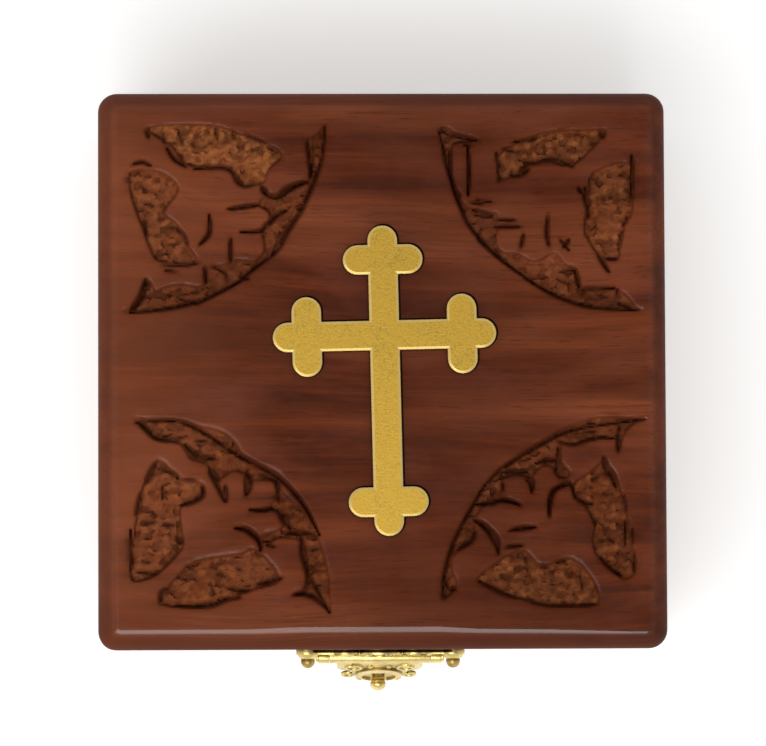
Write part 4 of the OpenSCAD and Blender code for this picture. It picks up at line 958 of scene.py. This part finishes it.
# %% Tarnish group
tarnish_group, b_in, b_out = new_group(
    "brass_tarnish",
    [("Place", "Vector", (0, 0, 0)), ("Bright", "Color", (1, 1, 1, 1)), ("Tarnish", "Color", (0, 0, 0, 1)),
     ("Amount", "Float", 0.5), ("Hollow", "Float", 0.0015)],
    [("Color", "Color"), ("Roughness", "Float"), ("Height", "Float")])
t = tarnish_group
patches = grains(t, b_in["Place"], (260, 260, 260), 5.0, 0.65)
specks = grains(t, b_in["Place"], (2600, 2600, 2600), 2.0, 0.6)
scratches = grains(t, b_in["Place"], (500, 6000, 6000), 1.0, 0.5)
open_sky = add(t, "AmbientOcclusion", {"Distance": b_in["Hollow"]}, samples=8, only_local=True).outputs["AO"]
hollow = span(t, open_sky, 0.9, 0.35)
spread = plus(t, times(t, span(t, patches, 0.35, 0.7), b_in["Amount"]), hollow, clamp=True)
colour = blend(t, spread, b_in["Bright"], b_in["Tarnish"])
colour = blend(t, span(t, specks, 0.5, 0.75, 0.0, 0.25), colour, b_in["Tarnish"])
t.links.new(colour, b_out["Color"])
dull = plus(t, span(t, specks, 0.3, 0.7, 0.0, 0.12), times(t, spread, 0.2))
t.links.new(dull, b_out["Roughness"])
t.links.new(plus(t, times(t, scratches, 0.5), specks), b_out["Height"])


# Where the painted shade in the gap behind the barrel fades out, in metres: 0.6 mm out from the lid's
# front, at the lid's front, and to each side just short of the ears' nails
GAP_SHADE_FRONT, GAP_SHADE_BACK, GAP_SHADE_END = (-0.05064, -0.05054), (-0.0500, -0.0501), (0.0128, 0.0124)


def brass(name, bright, tarnish, amount, rough, relief, filed_and_highlight=None, gap_shade=None):
    """Brass. filed_and_highlight is the colour of its bevels, partly filed brass and partly painted
    highlight, and gap_shade that of the painted shade behind the barrel.
    """
    made, tree, shader, place = start_material(name)
    skin = place_group(tree, tarnish_group, {"Place": place, "Bright": bright, "Tarnish": tarnish,
                                             "Amount": amount})
    wear = place_group(tree, wear_group, {"Place": place, "Reach": 0.0003, "Patches": 500.0})
    colour = blend(tree, times(tree, wear["Mask"], 0.5), skin["Color"], bright)
    if filed_and_highlight:
        # The bevels are paler: partly filed brass, partly a painted highlight
        level = add(tree, "SeparateXYZ", {0: add(tree, "NewGeometry").outputs["Normal"]}).outputs["Z"]
        colour = blend(tree, span(tree, level, 0.98, 0.94, 0.0, 0.6), colour, filed_and_highlight)
    # Shade painted in the gap between the plate and the barrel
    if gap_shade:
        along = add(tree, "SeparateXYZ", {0: place}).outputs
        behind = times(tree, span(tree, along["Y"], *GAP_SHADE_FRONT), span(tree, along["Y"], *GAP_SHADE_BACK))
        between_ears = span(tree, calc(tree, "ABSOLUTE", along["X"]), *GAP_SHADE_END)
        colour = blend(tree, times(tree, behind, between_ears), colour, gap_shade)
    tree.links.new(colour, shader.inputs["Base Color"])
    tree.links.new(plus(tree, skin["Roughness"], rough), shader.inputs["Roughness"])
    shader.inputs["Metallic"].default_value = 1.0
    bump(tree, shader, skin["Height"], relief)
    return made


# The last colour is painted shade for the gap behind the barrel
CASTING, STAIN, GAP_SHADE = srgb(238, 215, 140), srgb(118, 92, 44), srgb(58, 34, 16)
# The cross's bevel colour is partly filed brass and partly a painted highlight
cross_brass = brass("satin_brass", srgb(238, 195, 84), srgb(198, 153, 52), 0.45, 0.33, 0.000014,
                    filed_and_highlight=srgb(240, 216, 148))
latch_brass = brass("old_latch_brass", CASTING, STAIN, 0.4, 0.24, 0.00002)
plate_brass = brass("old_plate_brass", CASTING, STAIN, 0.4, 0.24, 0.00002, gap_shade=GAP_SHADE)
nail_brass = brass("old_nail_brass", srgb(196, 168, 96), srgb(92, 70, 34), 0.8, 0.34, 0.00002)
hinge_brass = brass("hinge_brass", srgb(214, 178, 92), srgb(120, 88, 40), 0.5, 0.28, 0.000015)
cross.data.materials.append(cross_brass)
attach(cross, "lid")
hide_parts("brass_cross")

# %% [markdown]
# ## Boards with eased edges
#
# The walls, the bottom and the lid's rails have the right shape already. Only their knife-sharp
# edges look wrong, because a joiner takes every arris off with a stroke of sandpaper. So each
# board is a copy of its solid, with its flat triangles merged and its edges rounded a little.

# %% Copies with rounded edges
def eased(name, node, radius, steps=2, edge_angle=35):
    """A copy of a CAD node with its edges rounded, in metres."""
    made = bpy.data.objects.new(name, frame["nodes"][node].data.copy())
    scene.collection.objects.link(made)
    shape = bmesh.new()
    shape.from_mesh(made.data)
    bmesh.ops.remove_doubles(shape, verts=shape.verts, dist=1e-6)
    bmesh.ops.dissolve_limit(shape, angle_limit=math.radians(1), verts=shape.verts, edges=shape.edges)
    shape.to_mesh(made.data)
    shape.free()
    easing = made.modifiers.new("eased", "BEVEL")
    easing.width, easing.segments = radius, steps
    easing.limit_method, easing.angle_limit = "ANGLE", math.radians(edge_angle)
    easing.use_clamp_overlap = True
    apply_modifiers(made)
    smooth_by_angle(made, 40)
    made.data.materials.clear()
    return made


def stand_for(piece, node, body, material):
    """Gives a piece its finish and puts it in its CAD node's place."""
    piece.data.materials.append(material)
    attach(piece, body)
    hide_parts(node)


ARRIS = 0.35 * MM
BOARDS = [("base_front_wall", "base", False), ("base_back_wall", "base", False),
          ("base_left_wall", "base", True), ("base_right_wall", "base", True),
          ("base_bottom_panel", "base", False),
          ("lid_front_rail", "lid", False), ("lid_back_rail", "lid", False),
          ("lid_left_rail", "lid", True), ("lid_right_rail", "lid", True)]
for number, (node, body, along_y) in enumerate(BOARDS, 2):
    slot = "bottom_board" if node == "base_bottom_panel" else "rosewood"
    wood = rosewood(node + "_wood", number, along_y, 0.35 if slot == "bottom_board" else 0.1)
    stand_for(eased(node + "_board", node, ARRIS), node, body, wood)
print("boards:", len(BOARDS))

# %% [markdown]
# ## Velvet
#
# Velvet is a low pile on a thin backing. It is glued to the floor, the walls and the underside of
# the lid. Its look comes from the pile: it lies in brushed patches that catch the light
# differently, and its edges turn pale because one looks along the fibres there, which the sheen
# of the shader gives. The sheets get a fine mesh, so that the pile's unevenness is real.

# %% Velvet finish
velvet, tree, shader, place = start_material("wine_velvet")
brushed = grains(tree, place, (45, 70, 70), 3.0, 0.55)
pile = grains(tree, place, (2200, 2200, 2200), 2.0, 0.6)
shade = plus(tree, times(tree, brushed, 0.6), times(tree, pile, 0.4))
wine = blend(tree, span(tree, shade, 0.35, 0.65), srgb(62, 8, 16), srgb(122, 22, 34))
tree.links.new(wine, shader.inputs["Base Color"])
tree.links.new(span(tree, pile, 0.3, 0.7, 0.85, 1.0), shader.inputs["Roughness"])
shader.inputs["Specular IOR Level"].default_value = 0.1
shader.inputs["Sheen Weight"].default_value = 0.8
shader.inputs["Sheen Roughness"].default_value = 0.35
shader.inputs["Sheen Tint"].default_value = srgb(214, 120, 128)
bump(tree, shader, pile, 0.00025, 0.6)

# %% Velvet sheets
VELVET_CELL = 1.2
# Shares of the cloth's thickness: its tuck at the edge and one cell further in, and the pile's roll
EDGE_TUCK, NEXT_TUCK, PILE_ROLL = 0.55, 0.12, 0.12
# How fast that roll changes, per millimetre
PILE_SCALE = 0.16


def velvet_sheet(name, node, body, facing):
    """A thin cloth in its CAD node's place. Facing is the axis and the side that the pile shows on."""
    low, high = (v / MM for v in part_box(node))
    axis, side = facing
    u, v = [k for k in range(3) if k != axis]
    counts = [max(2, round((high[k] - low[k]) / VELVET_CELL)) for k in (u, v)]
    back = low[axis] if side > 0 else high[axis]
    thick = high[axis] - low[axis]
    sheet_points, sheet_faces = [], []
    for layer in (0, 1):
        for j in range(counts[1] + 1):
            for i in range(counts[0] + 1):
                p = [0.0, 0.0, 0.0]
                p[u] = low[u] + (high[u] - low[u]) * i / counts[0]
                p[v] = low[v] + (high[v] - low[v]) * j / counts[1]
                rim_near = min(i, counts[0] - i, j, counts[1] - j)
                lift = thick * (1 - EDGE_TUCK * (rim_near == 0) - NEXT_TUCK * (rim_near == 1))
                spot = Vector((p[u] * PILE_SCALE, p[v] * PILE_SCALE, axis))
                lift -= thick * PILE_ROLL * (0.5 + 0.5 * noise.noise(spot))
                p[axis] = back + side * lift * layer
                sheet_points.append([c * MM for c in p])
    row = counts[0] + 1
    base_of_top = row * (counts[1] + 1)
    for j in range(counts[1]):
        for i in range(counts[0]):
            quad = [j * row + i, j * row + i + 1, (j + 1) * row + i + 1, (j + 1) * row + i]
            sheet_faces.append(tuple(quad))
            sheet_faces.append(tuple(base_of_top + k for k in reversed(quad)))
    loop = list(range(counts[0])) + [j * row + counts[0] for j in range(counts[1])]
    loop += [counts[1] * row + i for i in range(counts[0], 0, -1)]
    loop += [j * row for j in range(counts[1], 0, -1)]
    for a, b in zip(loop, loop[1:] + loop[:1]):
        sheet_faces.append((b, a, base_of_top + a, base_of_top + b))
    made = mesh_object(name, sheet_points, sheet_faces)
    shape = bmesh.new()
    shape.from_mesh(made.data)
    bmesh.ops.recalc_face_normals(shape, faces=shape.faces)
    shape.to_mesh(made.data)
    shape.free()
    smooth_by_angle(made, 60)
    stand_for(made, node, body, velvet)


carrier_of = {"base_floor_lining": "base_bottom_panel_board", "base_front_lining": "base_front_wall_board",
              "base_back_lining": "base_back_wall_board", "base_left_lining": "base_left_wall_board",
              "base_right_lining": "base_right_wall_board", "lid_lining": "carved_lid"}
facings = [(2, 1), (1, 1), (1, -1), (0, 1), (0, -1), (2, -1)]
for node, facing in zip(carrier_of, facings):
    body = "lid" if node == "lid_lining" else "base"
    velvet_sheet(node.replace("lining", "velvet"), node, body, facing)
print("velvet sheets:", len(carrier_of))

# %% [markdown]
# ## Hinges and nails
#
# The two butt hinges, their pins and the nails keep their solids' shape, with the edges broken.

# %% Hinges
FILED = 0.08 * MM
for side in ("left", "right"):
    for part, body in (("base_leaf", "base"), ("lid_leaf", "lid"), ("pin", "base")):
        node = f"hinge_{side}_{part}"
        stand_for(eased(node + "_brass", node, FILED), node, body, hinge_brass)
for node, body in (("hinge_base_nails", "base"), ("hinge_lid_nails", "lid")):
    stand_for(eased(node + "_brass", node, FILED * 0.6), node, body, hinge_brass)

# %% [markdown]
# ## The latch
#
# The latch is a small ornamental casting. Its plate and hasp keep the outline of their solids,
# with soft edges, and raised scrolls and beads are joined to them, as they are one casting on the
# real latch. The scrolls are drawn flat, as seen from the front, and each is a tapering round rod
# half sunk in the plate.

# %% Relief for the castings
latch_axis = Vector(next(j["pos_m"] for j in frame["joints"] if j["name"] == "hasp_swing"))
HASP_REST = math.radians(14)
PLATE_T, BARREL_R = 0.9, 1.15


def rod_along(path, radii, sides=8):
    """Points and faces of a rod with round ends along a path."""
    made_points = []
    path = [Vector(p) for p in path]
    for k, centre in enumerate(path):
        ahead = (path[min(k + 1, len(path) - 1)] - path[max(k - 1, 0)]).normalized()
        across = ahead.cross(Vector((0, 1, 0))).normalized()
        upward = across.cross(ahead).normalized()
        for s in range(sides):
            a = 2 * math.pi * s / sides
            made_points.append(centre + radii[k] * (math.cos(a) * across + math.sin(a) * upward))
    return made_points, tube_faces(len(path), sides)


def scroll(x, z, y, r, hand, turns=1.35, thick=0.42, start=90):
    """A spiral in the front view, round (x, z), that winds in from radius r. All in mm."""
    steps = 30
    path, radii = [], []
    for k in range(steps + 1):
        s = k / steps
        a = math.radians(start) + hand * 2 * math.pi * turns * s
        now = r * (1 - 0.78 * s)
        path.append(Vector((x + now * math.cos(a), y, z + now * math.sin(a))) * MM)
        radii.append(thick * (1 - 0.35 * s) * MM)
    return rod_along(path, radii)


def dome(x, z, y, r, rise, rings=4, sides=16):
    """A low round bead that stands out to the front from y. All in mm."""
    made_points = []
    for k in range(rings + 1):
        a = math.pi / 2 * k / rings
        for s in range(sides):
            b = 2 * math.pi * s / sides
            made_points.append(Vector((x + r * math.cos(a) * math.cos(b), y - rise * math.sin(a),
                                       z + r * math.cos(a) * math.sin(b))) * MM)
    return made_points, tube_faces(rings + 1, sides, open_end=True)


def joined(piece, parts):
    """Adds parts, each as points and faces, to a piece's mesh."""
    shape = bmesh.new()
    shape.from_mesh(piece.data)
    for part_points, part_faces in parts:
        corners_of = [shape.verts.new(p) for p in part_points]
        for face in part_faces:
            shape.faces.new([corners_of[k] for k in face]).smooth = True
    bmesh.ops.recalc_face_normals(shape, faces=shape.faces)
    shape.to_mesh(piece.data)
    shape.free()
    smooth_by_angle(piece, 40)


# %% The latch plate on the lid
plate_face = lid_low.y - PLATE_T
plate_x, plate_z = latch_axis.x / MM, latch_axis.z / MM
plate = eased("latch_plate_brass", "latch_plate", 0.22 * MM, 3, 30)
relief = []
for s in (-1, 1):
    relief.append(scroll(plate_x + s * 5.8, plate_z + 3.9, plate_face + 0.1, 1.5, -s, thick=0.32, start=90))
    relief.append(scroll(plate_x + s * 2.9, plate_z + 3.2, plate_face + 0.1, 1.0, s, turns=1.1, thick=0.28,
                         start=270))
    relief.append(dome(plate_x + s * 8.8, plate_z + 3.3, plate_face, 0.6, 0.3))
for k in range(7):
    a = math.radians(25 + 130 * k / 6)
    bead = (plate_x + 2.6 * math.cos(a), plate_z + 4.4 + 2.6 * math.sin(a))
    relief.append(dome(*bead, plate_face, 0.3, 0.22, 3, 10))
joined(plate, relief)
stand_for(plate, "latch_plate", "lid", plate_brass)

# %% The hasp, which hangs from the latch's pin
# It is drawn hanging straight down and then swung out to its rest angle
hasp = eased("hasp_brass", "latch_hasp", 0.2 * MM, 3, 30)
swing = Matrix.Translation(latch_axis) @ Matrix.Rotation(-HASP_REST, 4, "X")
swing = swing @ Matrix.Translation(-latch_axis)
hasp_face = latch_axis.y / MM - BARREL_R
relief = []
for s in (-1, 1):
    relief.append(scroll(plate_x + s * 5.0, plate_z - 3.3, hasp_face, 1.95, s, start=90))
    relief.append(scroll(plate_x + s * 5.3, plate_z - 9.4, hasp_face + 0.2, 1.5, -s, turns=1.2, thick=0.4))
    relief.append(scroll(plate_x + s * 3.1, plate_z - 11.6, hasp_face + 0.1, 1.0, s, turns=1.0, thick=0.32,
                         start=270))
    relief.append(dome(plate_x + s * 1.7, plate_z - 2.6, hasp_face, 0.55, 0.4))
relief = [([swing @ Vector(p) for p in part], part_faces) for part, part_faces in relief]
joined(hasp, relief)
stand_for(hasp, "latch_hasp", "hasp", latch_brass)

# %% The other pieces of the latch
KNOB_FILED = 0.25
for node, body in (("latch_pin", "lid"), ("latch_nails", "lid"), ("hasp_knob", "hasp"),
                   ("catch_plate", "base"), ("catch_staple", "base"), ("catch_nails", "base")):
    finish = nail_brass if "nails" in node else latch_brass
    piece = eased(node + "_brass", node, 0.1 * MM)
    if node == "hasp_knob":
        # The ball is filed a little flat in front
        outward = swing.to_3x3() @ Vector((0, -1, 0))
        foot = swing @ (Vector((plate_x, hasp_face, plate_z)) * MM)
        for corner in piece.data.vertices:
            stands = (corner.co - foot) @ outward
            corner.co -= outward * max(0, stands) * KNOB_FILED
    stand_for(piece, node, body, finish)

# %% [markdown]
# ## Table, light and background
#
# The box stands on a plain white table. The floor is an ordinary matt surface that takes the
# shadow. What the camera sees of it is lifted a little, so that it is as white as in the picture.
# One large soft lamp stands to the front and left, and the sky gives the rest, darker overhead
# than near the table, so that the flat lid keeps its colour.

# %% Floor
FLOOR_GLOW = 0.42
floor = mesh_object("floor", [(-3, -3, 0), (3, -3, 0), (3, 3, 0), (-3, 3, 0)], [(0, 1, 2, 3)])
made = bpy.data.materials.new("white_table")
made.use_nodes = True
tree = made.node_tree
tree.nodes.clear()
matt = add(tree, "BsdfDiffuse", {"Color": (0.86, 0.855, 0.85, 1)}).outputs[0]
rays = add(tree, "LightPath").outputs
seen = plus(tree, plus(tree, rays["Is Camera Ray"], rays["Is Glossy Ray"]),
            rays["Is Transmission Ray"], clamp=True)
glow = add(tree, "Emission", {"Color": (1, 0.995, 0.98, 1), "Strength": times(tree, seen, FLOOR_GLOW)})
both = add(tree, "AddShader", {0: matt, 1: glow.outputs[0]}).outputs[0]
tree.links.new(both, add(tree, "OutputMaterial").inputs["Surface"])
floor.data.materials.append(made)

# %% Lamp and sky
LAMP_WAY, LAMP_FAR = Vector((-0.2, -0.42, 0.9)), 1.2
LAMP_WIDTH, LAMP_DEPTH, LAMP_WATTS = 1.0, 0.6, 8.4
lamp = bpy.data.objects.new("main_softbox", bpy.data.lights.new("main_softbox", "AREA"))
scene.collection.objects.link(lamp)
lamp.data.shape = "RECTANGLE"
lamp.data.size, lamp.data.size_y, lamp.data.energy = LAMP_WIDTH, LAMP_DEPTH, LAMP_WATTS
lamp.location = LAMP_WAY.normalized() * LAMP_FAR
lamp.rotation_mode = "QUATERNION"
lamp.rotation_quaternion = (-lamp.location).to_track_quat("-Z", "Y")

sky = bpy.data.worlds.new("studio")
sky.use_nodes = True
scene.world = sky
tree = sky.node_tree
tree.nodes.clear()
facing_up = add(tree, "SeparateXYZ", {0: add(tree, "TexCoord").outputs["Generated"]}).outputs["Z"]
level = span(tree, facing_up, 0.4, 1.0, 0.8, 0.1)
lit = add(tree, "Background", {"Color": (1, 0.99, 0.975, 1), "Strength": level}).outputs[0]
white = add(tree, "Background", {"Color": (1, 1, 1, 1), "Strength": 1.0}).outputs[0]
rays = add(tree, "LightPath").outputs
shown = add(tree, "MixShader", {0: rays["Is Camera Ray"], 1: lit, 2: white}).outputs[0]
tree.links.new(shown, add(tree, "OutputWorld").inputs["Surface"])
